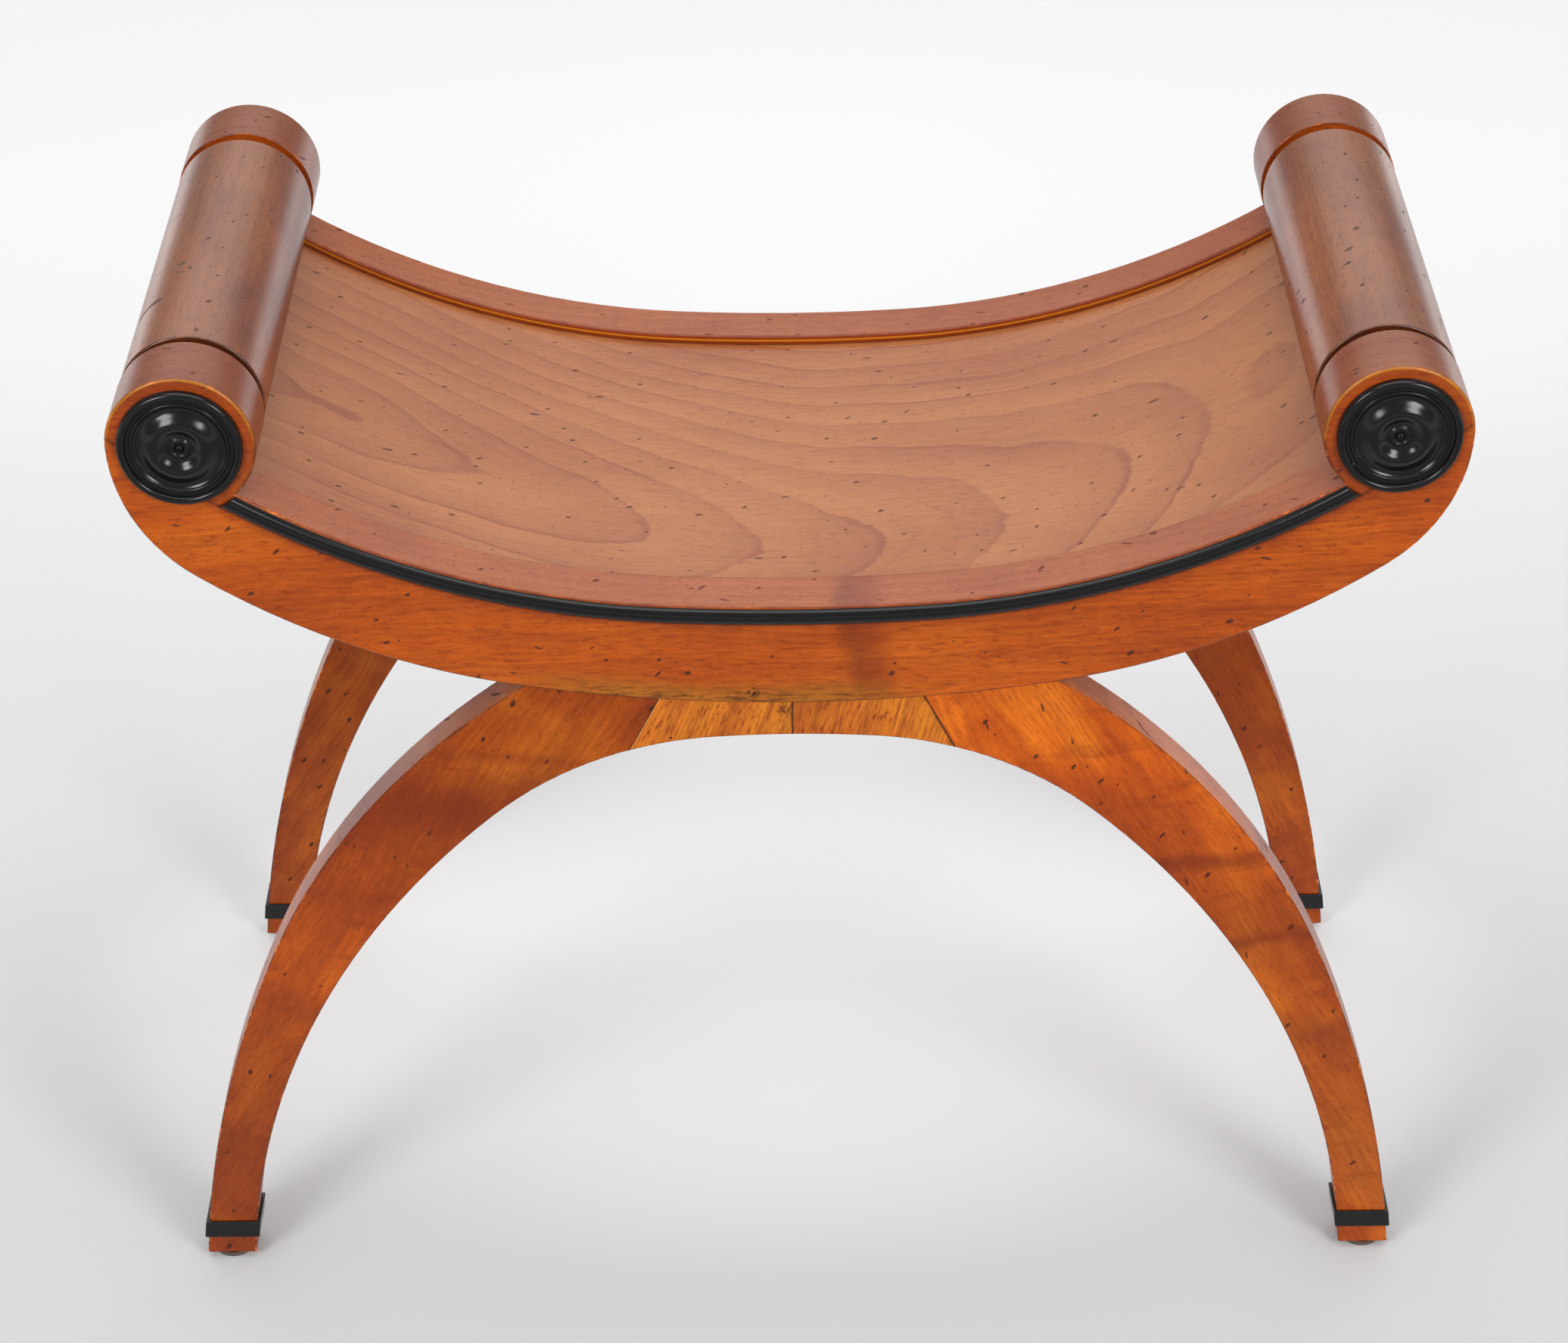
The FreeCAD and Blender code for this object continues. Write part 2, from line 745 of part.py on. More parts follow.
def make_bead(name, rotation):
    """The half-round moulding under the rail's upper arris, cut off round the discs."""
    body = new_body(name)
    half = size("bead_height") / 2
    drop = size("bead_drop") + half
    middle_z = dip.grown(drop).lowest_over(0).y
    top = point(front_face, middle_z + half)
    bottom = point(front_face, middle_z - half)
    nose = point(front_face - size("bead_proud"), middle_z)
    section = sketch_on(
        body, f"{name}_section", "YZ_Plane", [Part.Arc(bottom, nose, top), line(top, bottom)]
    )
    course = dip.grown(drop).lowest_over(0)
    joint = dip.grown(drop).towards(dip_end)
    end = sweep.grown(drop).left_crossing(Circle(disc.centre, size("rosette_radius")))
    spine = sketch_on(
        body,
        f"{name}_course",
        FRONT_VIEW,
        [arc(dip.centre, course, joint), arc(sweep.centre, joint, end)],
        "sizes.overall_depth / 2",
    )
    pipe = body.newObject("PartDesign::AdditivePipe", f"{name}_right_half")
    pipe.Profile = section
    pipe.Spine = (spine, ["Edge1", "Edge2"])
    document.recompute()
    halves = body.newObject("PartDesign::Mirrored", f"{name}_halves")
    halves.Originals = [pipe]
    side_plane = next(item for item in body.Origin.OriginFeatures if item.Role == "YZ_Plane")
    halves.MirrorPlane = (side_plane, [""])
    body.Tip = halves
    document.recompute()
    for side, x in (("right", disc.centre.x), ("left", -disc.centre.x)):
        bore(
            body,
            f"{name}_{side}_end",
            FreeCAD.Vector(x, front_face - size("rail_thickness") / 2, disc.centre.y),
            ALONG_Y,
            "sizes.disc_radius + sizes.glue_line",
            "sizes.rail_thickness",
        )
    return place(body, rotation=rotation)


def make_rosette(name, x, y, rotation):
    """A turned rosette. Its back lies in its own XZ plane and its face looks along -Y."""
    body = new_body(name)
    hole = size("pin_radius") + size("dowel_clearance")
    edge = size("rosette_radius")
    rim_round = size("rim_width") / 2
    rim_shoulder = size("rim_height") - rim_round
    valley = size("valley_height")
    reed_outer = edge - size("rim_width") - size("valley_width")
    reed_inner = reed_outer - size("reed_width")
    dome_outer = reed_inner - size("dome_setback")
    dome_inner = size("eye_radius") + size("dish_width")
    dome_middle = (dome_outer + dome_inner) / 2
    lip = (size("dome_height") + size("eye_height")) / 2

    def at(radius, height):
        return point(radius, -height)

    reed_top = at((reed_outer + reed_inner) / 2, valley + size("reed_height"))
    rim_top = at(edge - rim_round, size("rim_height"))
    profile = [
        line(at(hole, 0), at(edge, 0)),
        line(at(edge, 0), at(edge, rim_shoulder)),
        Part.Arc(at(edge, rim_shoulder), rim_top, at(edge - size("rim_width"), rim_shoulder)),
        line(at(edge - size("rim_width"), rim_shoulder), at(edge - size("rim_width"), valley)),
        line(at(edge - size("rim_width"), valley), at(reed_outer, valley)),
        Part.Arc(at(reed_outer, valley), reed_top, at(reed_inner, valley)),
        line(at(reed_inner, valley), at(dome_outer, valley)),
        Part.Arc(at(dome_outer, valley), at(dome_middle, size("dome_height")), at(dome_inner, lip)),
        line(at(dome_inner, lip), at(size("eye_radius"), size("eye_height"))),
        line(at(size("eye_radius"), size("eye_height")), at(hole, size("eye_height"))),
        line(at(hole, size("eye_height")), at(hole, 0)),
    ]
    sketch = sketch_on(body, f"{name}_profile", "XY_Plane", profile)
    revolve(body, f"{name}_turning", sketch, "V_Axis")
    return place(body, x, y, roller_height, rotation)


def make_pin(name, x, y, rotation):
    """A button-headed pin. The head sits in the rosette's eye, in the same frame as the rosette."""
    body = new_body(name)
    shank = size("pin_radius")
    head = size("pin_head_radius")
    seat = -size("eye_height")
    crest = seat - size("pin_head_height")
    tip = seat + size("pin_length")
    ball_radius = (head**2 + size("pin_head_height") ** 2) / (2 * size("pin_head_height"))
    ball_centre = point(0, crest + ball_radius)
    corners = [point(0, crest), point(0, tip), point(shank, tip), point(shank, seat), point(head, seat)]
    profile = [line(start, end) for start, end in zip(corners, corners[1:])]
    profile.append(arc(ball_centre, point(head, seat), point(0, crest)))
    sketch = sketch_on(body, f"{name}_profile", "XY_Plane", profile)
    revolve(body, f"{name}_turning", sketch, "V_Axis")
    return place(body, x, y, roller_height, rotation)


# The frames, front and rear. Turning a right-hand piece half round makes it a left-hand one.

parts = []
all_pins = []
dowels_by_group = {"leg_dowels": [], "block_dowels": [], "scarf_dowels": [], "centre_dowels": []}
for end_name, sign, rail_rotation in (("front", -1, UPRIGHT), ("rear", 1, TURNED_HALF)):
    frame_y = sign * leg_middle
    face_y = -sign * front_face
    parts.append(make_rail(f"{end_name}_rail", rail_rotation))
    parts.append(make_bead(f"{end_name}_bead", rail_rotation))
    for side, side_sign, turn in (("left", -1, TURNED_HALF), ("right", 1, UPRIGHT)):
        tag = f"{end_name}_{side}"
        foot_x = side_sign * size("foot_spread") / 2
        roller_x = side_sign * size("roller_spacing") / 2
        parts.append(make_leg(f"{tag}_leg", frame_y, turn))
        parts.append(make_block(f"{tag}_block", frame_y, turn))
        parts.append(make_collar(f"{tag}_collar", frame_y, turn))
        parts.append(make_glide(f"{tag}_glide", foot_x, frame_y))
        parts.append(make_rosette(f"{tag}_rosette", roller_x, face_y, rail_rotation))
        all_pins.append(make_pin(f"{tag}_pin", roller_x, face_y, rail_rotation))
        for dowel_group, members in (
            ("leg_dowels", leg_dowels),
            ("block_dowels", [block_dowel]),
            ("scarf_dowels", [scarf_dowel]),
        ):
            for dowel in members:
                sided = dowel if side_sign > 0 else dowel.mirrored()
                dowels_by_group[dowel_group].append(sided.rod_at(tag, frame_y))
    dowels_by_group["centre_dowels"].append(centre_dowel.rod_at(end_name, frame_y))

parts.append(group("rosette_pins", all_pins))
for group_name, members in dowels_by_group.items():
    parts.append(group(group_name, members))

# Between the frames: the rollers, the seat's two layers and its battens
parts.append(make_roller("left_roller", -size("roller_spacing") / 2))
parts.append(make_roller("right_roller", size("roller_spacing") / 2))
parts.append(make_seat_layer("seat_veneer", size("seat_step"), veneer_drop))
parts.append(make_seat_layer("seat_panel", ground_top_drop, ground_drop))
parts.append(make_batten("left_batten", mirrored(batten_middle), mirrored(batten_up)))
parts.append(make_batten("right_batten", batten_middle, batten_up))
document.recompute()

for item in document.Objects:
    if "Invalid" in item.State or "Error" in item.State:
        raise RuntimeError(f"{item.Name} failed: {item.State}")
for part in parts:
    if part.Shape.isNull() or not part.Shape.isValid() or part.Shape.Volume <= 0:
        raise RuntimeError(f"{part.Label} has no valid solid")

os.makedirs("parts", exist_ok=True)
for part in parts:
    part.Shape.exportStep(f"parts/{part.Label}.step")
    print(part.Label, len(part.Shape.Solids), round(part.Shape.Volume / 1000, 2), "cm3")
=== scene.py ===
import math
from functools import partial

import bmesh
import bpy
from bpy.props import FloatProperty, FloatVectorProperty, PointerProperty
from mathutils import Matrix, Vector


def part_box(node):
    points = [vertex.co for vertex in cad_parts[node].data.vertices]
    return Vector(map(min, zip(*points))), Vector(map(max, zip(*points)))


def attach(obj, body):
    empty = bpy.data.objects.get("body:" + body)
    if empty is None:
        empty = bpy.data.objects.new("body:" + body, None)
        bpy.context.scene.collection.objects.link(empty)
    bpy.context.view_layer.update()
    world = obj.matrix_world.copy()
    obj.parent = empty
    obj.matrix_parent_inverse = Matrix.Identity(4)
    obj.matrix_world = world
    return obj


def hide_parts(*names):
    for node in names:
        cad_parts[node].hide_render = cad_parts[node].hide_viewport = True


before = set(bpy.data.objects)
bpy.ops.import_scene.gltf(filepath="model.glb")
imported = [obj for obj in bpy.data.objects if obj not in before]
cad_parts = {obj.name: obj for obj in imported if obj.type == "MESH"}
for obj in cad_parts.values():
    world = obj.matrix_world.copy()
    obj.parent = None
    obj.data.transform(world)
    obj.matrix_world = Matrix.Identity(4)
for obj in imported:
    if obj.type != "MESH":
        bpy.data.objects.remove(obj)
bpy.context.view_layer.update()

bl_info = {
    "name": "X frame stool",
    "version": (1, 0, 0),
    "blender": (4, 5, 0),
    "location": "3D View > Sidebar > Stool",
    "description": "Dresses a cherry stool: crescent rails, rollers and arched legs",
    "category": "Object",
}

MM = 0.001
RAIL_LOW, RAIL_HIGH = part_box("front_rail")
ROLLER_LOW, ROLLER_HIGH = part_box("right_roller")
AXIS = (ROLLER_LOW + ROLLER_HIGH) / 2
ROLLER_RADIUS = (ROLLER_HIGH.x - ROLLER_LOW.x) / 2
DISC_RADIUS = RAIL_HIGH.x - AXIS.x
# Distances along y from the middle to a rail's face, the step beside the seat and the inner side.
FACE = -RAIL_LOW.y
STEP_PLANE = FACE - 32 * MM
INNER_PLANE = FACE - 42 * MM
FINE_ROUND = 128
ENDS = (("front", -1), ("rear", 1))
SIDES = ("left", "right")

# The circles of the seat's line and of the underside, as (x, z, radius) on the right-hand side.
# Each line is two circles and the x at which the first gives way to the second.
DIP = (0.0, 1.6259, 1.187)
SWEEP = (0.0401, 0.9057, 0.4657)
DIP_REACH = 0.066
SEAT_LINE = (DIP, SWEEP, DIP_REACH)
UNDERSIDE = ((0.0, 1.2417, 0.862), (0.0725, 0.7978, 0.4122), 0.139)
# The half width over which one circle is blended into the next.
BLEND = 0.004
# The slanting joint between a block and its leg, as (x, z) at its two ends.
SCARF_TOP = Vector((0.0706, 0.3825))
SCARF_FOOT = Vector((0.0875, 0.3496))

# This stool's own marks: a scar and a knot as (x, z), a stain and the worn edge's middle as x.
SCAR = (-0.0205, 0.3865)
KNOT = (-0.0035, 0.3752)
STAIN = 0.041
WORN_MIDDLE = -0.035
# Where the rail turns into its disc, and how far below its top line the painted highlight on the
# step runs.
DISC_START = (0.262, 0.272)
STEP_HIGHLIGHT_DROP = 2.8 * MM

# Dents and dust: shift along and across, marks per metre, radius, share, stretch, lean, strength.
WOOD_SPECKS = (
    (0.0, 0.0, 52.0, 1.4 * MM, 1.0, 1.7, 0.5, 1.0),
    (0.3, 0.0, 40.0, 1.1 * MM, 1.0, 2.6, 0.8, 1.0),
    (0.0, 0.4, 38.0, 1.0 * MM, 1.0, 3.6, -0.25, 0.9),
    (0.0, 0.7, 110.0, 0.6 * MM, 1.0, 1.0, 0.0, 0.7),
)
VENEER_SPECKS = (
    (0.0, 0.0, 52.0, 1.2 * MM, 0.5, 1.7, 0.4, 1.0),
    (0.3, 0.0, 32.0, 1.0 * MM, 0.5, 3.2, 0.2, 1.0),
    (0.0, 0.4, 30.0, 0.9 * MM, 0.4, 3.0, 0.9, 0.9),
    (0.0, 0.7, 120.0, 0.6 * MM, 0.5, 1.0, 0.0, 0.7),
)

# Each leg: its share of the tone, then dark patches, bands across the grain and lighter or darker
# zones, each from one height to another with its strength.
LEG_FIGURES = {
    ("front", "left"): (0.88, [(0.285, 0.335, 0.75), (0.03, 0.09, 0.35)],
                        [(0.235, 0.265, 0.45), (0.345, 0.36, 0.5)],
                        [(0.17, 0.28, 1.3), (0.04, 0.15, 0.88)]),
    ("front", "right"): (1.1, [(0.2, 0.25, 0.35), (0.14, 0.165, 0.5), (0.02, 0.13, 0.35)],
                         [(0.262, 0.279, 1.0), (0.207, 0.221, 0.9)],
                         [(0.28, 0.4, 1.3), (0.04, 0.26, 0.88)]),
    ("rear", "left"): (0.8, [(0.22, 0.36, 0.4)], [], []),
    ("rear", "right"): (1.0, [(0.1, 0.2, 0.3)], [], []),
}

# The low boss round a rosette's pin, as radius and height in millimetres.
BOSS = ((5.9, 2.1), (5.5, 2.75), (5.0, 3.1), (4.4, 3.15), (3.9, 2.95), (3.5, 2.5), (3.3, 2.2))

# The camera fitted to the photo: place, pitch, yaw and roll, and focal length in the photo's pixels.
CAMERA_PLACE = (-0.0009, -1.9404, 1.4976)
CAMERA_ANGLES = (31.840, -0.106, -0.620)
FOCAL_PIXELS = 5198.5
PHOTO_WIDTH = 2072
SENSOR_WIDTH = 36

# The soft lamps: name, place, width and height, and share of the lamps' power.
LAMPS = (
    ("left_softbox", (-1.7, -2.4, 1.9), (1.0, 1.0), 1.0),
    ("right_softbox", (1.7, -2.4, 1.9), (1.0, 1.0), 1.0),
    ("back_softbox", (0.0, 3.0, 2.9), (7.0, 2.2), 1.3),
    ("top_softbox", (0.0, -0.4, 3.0), (2.4, 2.4), 1.0),
)
LAMP_TARGET = Vector((0, 0, 0.35))


def srgb(red, green, blue):
    """A colour read off as 0 to 255 on a screen, as the linear values that a shader takes."""
    return tuple(
        (v / 255 / 12.92) if v < 10.31 else ((v / 255 + 0.055) / 1.055) ** 2.4
        for v in (red, green, blue)
    )


def amount(name, description, default, unit="NONE", precision=2):
    return FloatProperty(
        name=name, description=description, default=default, min=0, unit=unit, precision=precision
    )


def length(name, description, default):
    return amount(name, description, default, "LENGTH", 5)


def colour(name, description, default):
    return FloatVectorProperty(
        name=name, description=description, default=default, min=0, max=1, size=3, subtype="COLOR"
    )


class StoolSizes(bpy.types.PropertyGroup):
    face_arris: length("Face arris", "Rounding of a rail's outer edges", 1.4 * MM)
    step_arris: length("Step arris", "Rounding of the edge beside the seat", 1.8 * MM)
    inner_arris: length("Inner arris", "Rounding of a rail's inner edges", 0.8 * MM)
    quirk_width: length("Quirk width", "Groove between roller and disc", 6.5 * MM)
    quirk_depth: length("Quirk depth", "Depth of that groove", 3.7 * MM)
    roller_arris: length("Roller arris", "Rounding at the roller's ends", 1.2 * MM)
    spigot_radius: length("Spigot radius", "Pin that holds the roller", 11 * MM)
    bead_height: length("Bead height", "Height of the black moulding", 9 * MM)
    bead_proud: length("Bead proud", "How far the moulding stands out", 3.5 * MM)
    bead_drop: length("Bead drop", "Wood above the moulding", 1.2 * MM)
    rosette_radius: length("Rosette radius", "Outside of the turned rosette", 32.4 * MM)
    glide_radius: length("Glide radius", "Round foot under each leg", 11 * MM)
    glide_thickness: length("Glide thickness", "Height of that foot", 3 * MM)
    glide_rounding: length("Glide rounding", "Rounding of its sole", 1 * MM)
    pin_radius: length("Pin head radius", "Button head in the rosette", 2.5 * MM)
    pin_height: length("Pin head height", "Height of the button head", 1.8 * MM)


class StoolFinish(bpy.types.PropertyGroup):
    cherry_light: colour("Light cherry", "Lightest wood", srgb(208, 112, 26))
    cherry: colour("Cherry", "Body colour of the wood", srgb(186, 82, 10))
    # Dark cherry is also the colour of painted shade below the bead and on the step's riser.
    cherry_dark: colour("Dark cherry", "Late wood and stains", srgb(118, 40, 12))
    # Light block is also the colour of painted highlights on the discs' arrises, along the steps and
    # in the quirks.
    block_light: colour("Light block", "Yellow wood of the blocks", srgb(212, 136, 32))
    veneer_light: colour("Light veneer", "Seat veneer", srgb(172, 107, 60))
    veneer_dark: colour("Dark veneer", "Grain lines of the seat", srgb(128, 58, 34))
    deal: colour("Under wood", "Seat panel and battens", srgb(176, 128, 82))
    dowel: colour("Dowel", "Hidden dowels", srgb(205, 166, 116))
    ebony: colour("Black", "Ebonised wood", srgb(18, 17, 19))
    steel: colour("Steel", "Glides", srgb(120, 112, 104))
    # Grime is also the colour of painted shade along the bead's lower edge, in the quirks and at the
    # foot of the step.
    grime_and_shade: colour("Grime", "Dirt and old varnish", srgb(44, 20, 10))


class StoolStage(bpy.types.PropertyGroup):
    floor_front: colour("Floor in front", "Floor towards the camera", srgb(189, 190, 192))
    floor_back: colour("Floor behind", "Floor behind the stool", srgb(238, 238, 239))
    glow: amount("Glow", "White added to the floor behind", 0.09)
    under_glow: amount("Glow underneath", "White added to the floor under the stool", 0.27)
    far_glow: amount("Far glow", "White added to the paper far behind", 0.8)
    sky: amount("Sky", "Strength of the even light", 0.34)
    backdrop: amount("Backdrop", "White that the camera sees past the floor", 0.95)
    lamp: amount("Lamps", "Power of each soft lamp", 44, "POWER")


# Ways to work on a mesh.


def choose(piece):
    """Makes a piece the only selected and the active object."""
    if bpy.context.mode != "OBJECT":
        bpy.ops.object.mode_set(mode="OBJECT")
    bpy.ops.object.select_all(action="DESELECT")
    piece.select_set(True)
    bpy.context.view_layer.objects.active = piece


def added(name):
    """The primitive that was added last, named, with its turn and scale put into its mesh."""
    piece = bpy.context.object
    piece.name = piece.data.name = name
    bpy.ops.object.transform_apply(location=True, rotation=True, scale=True)
    return piece


def edit(piece, mode="FACE"):
    choose(piece)
    bpy.ops.object.mode_set(mode="EDIT")
    bpy.ops.mesh.select_mode(type=mode)
    bpy.ops.mesh.select_all(action="DESELECT")
    return bmesh.from_edit_mesh(piece.data)


def everything():
    bpy.ops.mesh.select_all(action="SELECT")


def done():
    bpy.ops.object.mode_set(mode="OBJECT")


def select(piece, wanted, mode="FACE"):
    """Opens a piece in edit mode with only the elements selected that a test accepts."""
    mesh = edit(piece, mode)
    members = {"FACE": mesh.faces, "EDGE": mesh.edges, "VERT": mesh.verts}[mode]
    found = [member for member in members if wanted(member)]
    if not found:
        raise RuntimeError(f"nothing to select on {piece.name}")
    for member in found:
        member.select_set(True)
    mesh.select_flush_mode()
    bmesh.update_edit_mesh(piece.data)


def copy_of(node):
    """A copy of a CAD node whose loose triangles are merged into whole faces."""
    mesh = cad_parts[node].data.copy()
    mesh.name = f"{node}_dressed"
    mesh.materials.clear()
    piece = bpy.data.objects.new(mesh.name, mesh)
    bpy.context.scene.collection.objects.link(piece)
    edit(piece)
    everything()
    bpy.ops.mesh.remove_doubles(threshold=0.002 * MM)
    bpy.ops.mesh.dissolve_limited(angle_limit=math.radians(0.2))
    done()
    bpy.ops.mesh.customdata_custom_splitnormals_clear()
    return piece


def beyond(line, x, z):
    """How far below one of the rail's two lines a point of the front view lies."""
    inner, outer, reach = line
    across, up, radius = inner if abs(x) < reach else outer
    return math.hypot(abs(x) - across, z - up) - radius


def close_holes(piece, buried):
    """Takes out the walls of hidden holes and closes the openings that they leave."""
    select(piece, lambda face: any(buried(vertex.co) for vertex in face.verts))
    bpy.ops.mesh.delete(type="FACE")
    bpy.ops.mesh.select_mode(type="EDGE")
    bpy.ops.mesh.select_non_manifold(
        extend=False, use_wire=False, use_boundary=True, use_multi_face=False,
        use_non_contiguous=False, use_verts=False,
    )
    bpy.ops.mesh.fill_holes(sides=0)
    everything()
    bpy.ops.mesh.dissolve_limited(angle_limit=math.radians(0.2))
    done()


def copied(piece, name, move):
    """Another of a piece that is already made, moved or turned, with a mesh of its own."""
    twin = bpy.data.objects.new(name, piece.data.copy())
    twin.data.name = name
    twin.data.transform(move)
    bpy.context.scene.collection.objects.link(twin)
    return twin


def in_each_corner(piece, kind, reach):
    """A piece of the front left corner, at x = -reach, and its copies in the other corners."""
    across = Matrix.Translation((2 * reach, 0, 0))
    about = Matrix.Rotation(math.pi, 4, "Z")
    yield "front_left", piece
    yield "front_right", copied(piece, f"front_right_{kind}", across)
    yield "rear_left", copied(piece, f"rear_left_{kind}", about @ across)
    yield "rear_right", copied(piece, f"rear_right_{kind}", about)


def apply_modifier(piece, kind, **settings):
    choose(piece)
    modifier = piece.modifiers.new(kind.lower(), kind)
    for name, value in settings.items():
        setattr(modifier, name, value)
    bpy.ops.object.modifier_apply(modifier=modifier.name)


def present(piece, material, slot, *nodes, smooth=35):
    """Smooths a finished piece, gives it its material, and lets it stand for its nodes."""
    choose(piece)
    bpy.ops.object.shade_smooth_by_angle(angle=math.radians(smooth))
    apply_modifier(piece, "WEIGHTED_NORMAL", keep_sharp=True, weight=90)
    piece.data.materials.clear()
    piece.data.materials.append(material)
    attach(piece, "root")
    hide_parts(*nodes)


def dress(node, material, slot):
    """Shows a copy of a CAD node in a material of its own."""
    present(copy_of(node), material, slot, node)


def cover(material, *nodes):
    """Gives CAD nodes that keep their own shape a better material."""
    for node in nodes:
        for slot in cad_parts[node].material_slots:
            slot.material = material


# Shader maths, written as expressions on sockets.


class Field:
    """A socket whose value varies over a surface."""

    def __init__(self, finish, socket):
        self.finish = finish
        self.socket = socket

    def math(self, operation, *others):
        inputs = dict(enumerate((self,) + others))
        return self.finish.field("ShaderNodeMath", 0, {"operation": operation}, inputs)

    def __add__(self, other):
        return self.math("ADD", other)

    __radd__ = __add__

    def __mul__(self, other):
        return self.math("MULTIPLY", other)

    __rmul__ = __mul__

    def __sub__(self, other):
        return self.math("SUBTRACT", other)

    def __rsub__(self, other):
        return (self * -1.0) + other

    def __truediv__(self, other):
        return self.math("DIVIDE", other)

    def __pow__(self, other):
        return self.math("POWER", other)

    def __abs__(self):
        return self.math("ABSOLUTE")

    def fraction(self):
        return self.math("FRACT")

    def most(self, other):
        return self.math("MAXIMUM", other)

    def step(self, low, high):
        """0 below low and 1 above high, with a smooth rise between them."""
        if low > high:
            return 1 - self.step(high, low)
        settings = {"interpolation_type": "SMOOTHSTEP"}
        inputs = {"Value": self, "From Min": low, "From Max": high}
        return self.finish.field("ShaderNodeMapRange", 0, settings, inputs)

    def hump(self, middle, width):
        """1 at a middle value, falling smoothly to 0 at a width to either side."""
        return abs(self - middle).step(width, 0)

    def within(self, low, high, spread=0.5):
        """1 in the middle of a span, falling smoothly to 0 at a part of its length away."""
        return self.hump((low + high) / 2, (high - low) * spread)


class Finish:
    """A material, or the world's light, under construction."""

    def __init__(self, name, family="materials"):
        self.result = getattr(bpy.data, family).new(name)
        self.result.use_nodes = True
        self.tree = self.result.node_tree
        self.tree.nodes.clear()

    def node(self, kind, settings=(), inputs=()):
        made = self.tree.nodes.new(kind)
        for name, value in dict(settings).items():
            setattr(made, name, value)
        for key, value in dict(inputs).items():
            if isinstance(value, Field):
                self.tree.links.new(value.socket, made.inputs[key])
            elif made.inputs[key].type == "RGBA":
                made.inputs[key].default_value = (*value, 1.0)
            else:
                made.inputs[key].default_value = value
        return made

    def field(self, kind, output, settings=(), inputs=()):
        return Field(self, self.node(kind, settings, inputs).outputs[output])

    def place(self, turn=(0, 0, 0), shift=(0, 0, 0)):
        """The object's own coordinates, turned and then shifted."""
        position = self.field("ShaderNodeTexCoord", "Object")
        inputs = {"Vector": position, "Rotation": tuple(map(math.radians, turn)), "Location": shift}
        return self.field("ShaderNodeMapping", 0, (), inputs)

    def parts(self, vector):
        node = self.node("ShaderNodeSeparateXYZ", (), {0: vector})
        return [Field(self, output) for output in node.outputs]

    def vector(self, x, y, z):
        return self.field("ShaderNodeCombineXYZ", 0, (), {0: x, 1: y, 2: z})

    def noise(self, vector, scale, detail=2.0, roughness=0.5, distortion=0.0):
        """Noise from 0 to 1 with its own scale along each of the three directions."""
        if isinstance(scale, (int, float)):
            scale = (scale,) * 3
        stretched = self.field(
            "ShaderNodeVectorMath", 0, {"operation": "MULTIPLY"}, {0: vector, 1: scale}
        )
        inputs = {
            "Vector": stretched, "Scale": 1.0, "Detail": detail, "Roughness": roughness,
            "Distortion": distortion,
        }
        return self.field("ShaderNodeTexNoise", 0, (), inputs)

    def mix(self, factor, first, second):
        settings = {"data_type": "RGBA", "clamp_factor": True}
        return self.field("ShaderNodeMix", 2, settings, {0: factor, 6: first, 7: second})

    def shade(self, tint, amount):
        """A colour made lighter or darker by a factor that varies."""
        return self.field(
            "ShaderNodeVectorMath", 0, {"operation": "SCALE"}, {0: tint, "Scale": amount}
        )

    def distance(self, x, z, centre_x, centre_z):
        """How far a point of the front view is from a centre."""
        across, up = x - centre_x, z - centre_z
        return (across * across + up * up).math("SQRT")

    def spots(self, a, b, density, radius, share, stretch=1.0, lean=0.0):
        """Sparse small marks: 1 inside a mark. Each cell of the pattern has one or none."""
        cos, sin = math.cos(lean), math.sin(lean)
        along = (a * cos + b * sin) * density
        across = (b * cos - a * sin) * density
        base = self.vector(along / stretch, across, 0.0)
        wobble = self.noise(base, 9.0, 1.0)
        settings = {"voronoi_dimensions": "2D"}
        cells = self.node("ShaderNodeTexVoronoi", settings, {"Vector": base, "Scale": 1.0})
        size = radius * density
        distance = Field(self, cells.outputs["Distance"]) + (wobble - 0.5) * size
        chance = self.parts(Field(self, cells.outputs["Color"]))
        mark = (distance / ((chance[1] * 0.8 + 0.4) * size)).step(1.0, 0.55)
        return mark * chance[0].step(1 - share, 1 - share + 0.01)

    def specks(self, a, b, kinds, amount=1.0):
        """Spots of several kinds together. Amount scales the share of cells that have one."""
        found = None
        for along, across, density, radius, share, stretch, lean, strength in kinds:
            mark = self.spots(a + along, b + across, density, radius, share * amount, stretch, lean)
            mark = mark * strength
            found = found.most(mark) if found else mark
        return found

    def close(self, constants, varying, height=None, strength=0.3, reach=0.4 * MM):
        """Ends the material with its shader, the varying inputs and a bump."""
        inputs = dict(constants)
        inputs.update(varying)
        if height is not None:
            bump = {"Height": height, "Strength": strength, "Distance": reach}
            inputs["Normal"] = self.field("ShaderNodeBump", 0, (), bump)
        return self.end("ShaderNodeBsdfPrincipled", inputs, "ShaderNodeOutputMaterial")

    def end(self, kind, inputs, output_kind):
        """Joins the last shader to the output."""
        shader = self.field(kind, 0, (), inputs)
        self.node(output_kind, (), {0: shader})
        return self.result


def toned(settings, share=1.0, light=None, body=None):
    """The wood's light, middle and dark tones and the tone of its up-facing surfaces, all darkened
    by one share, and its dirt-and-shade colour.
    """
    own = (light or settings.cherry_light, body or settings.cherry, settings.cherry_dark,
           settings.veneer_light)
    return [tuple(value * share for value in tone) for tone in own] + [settings.grime_and_shade]


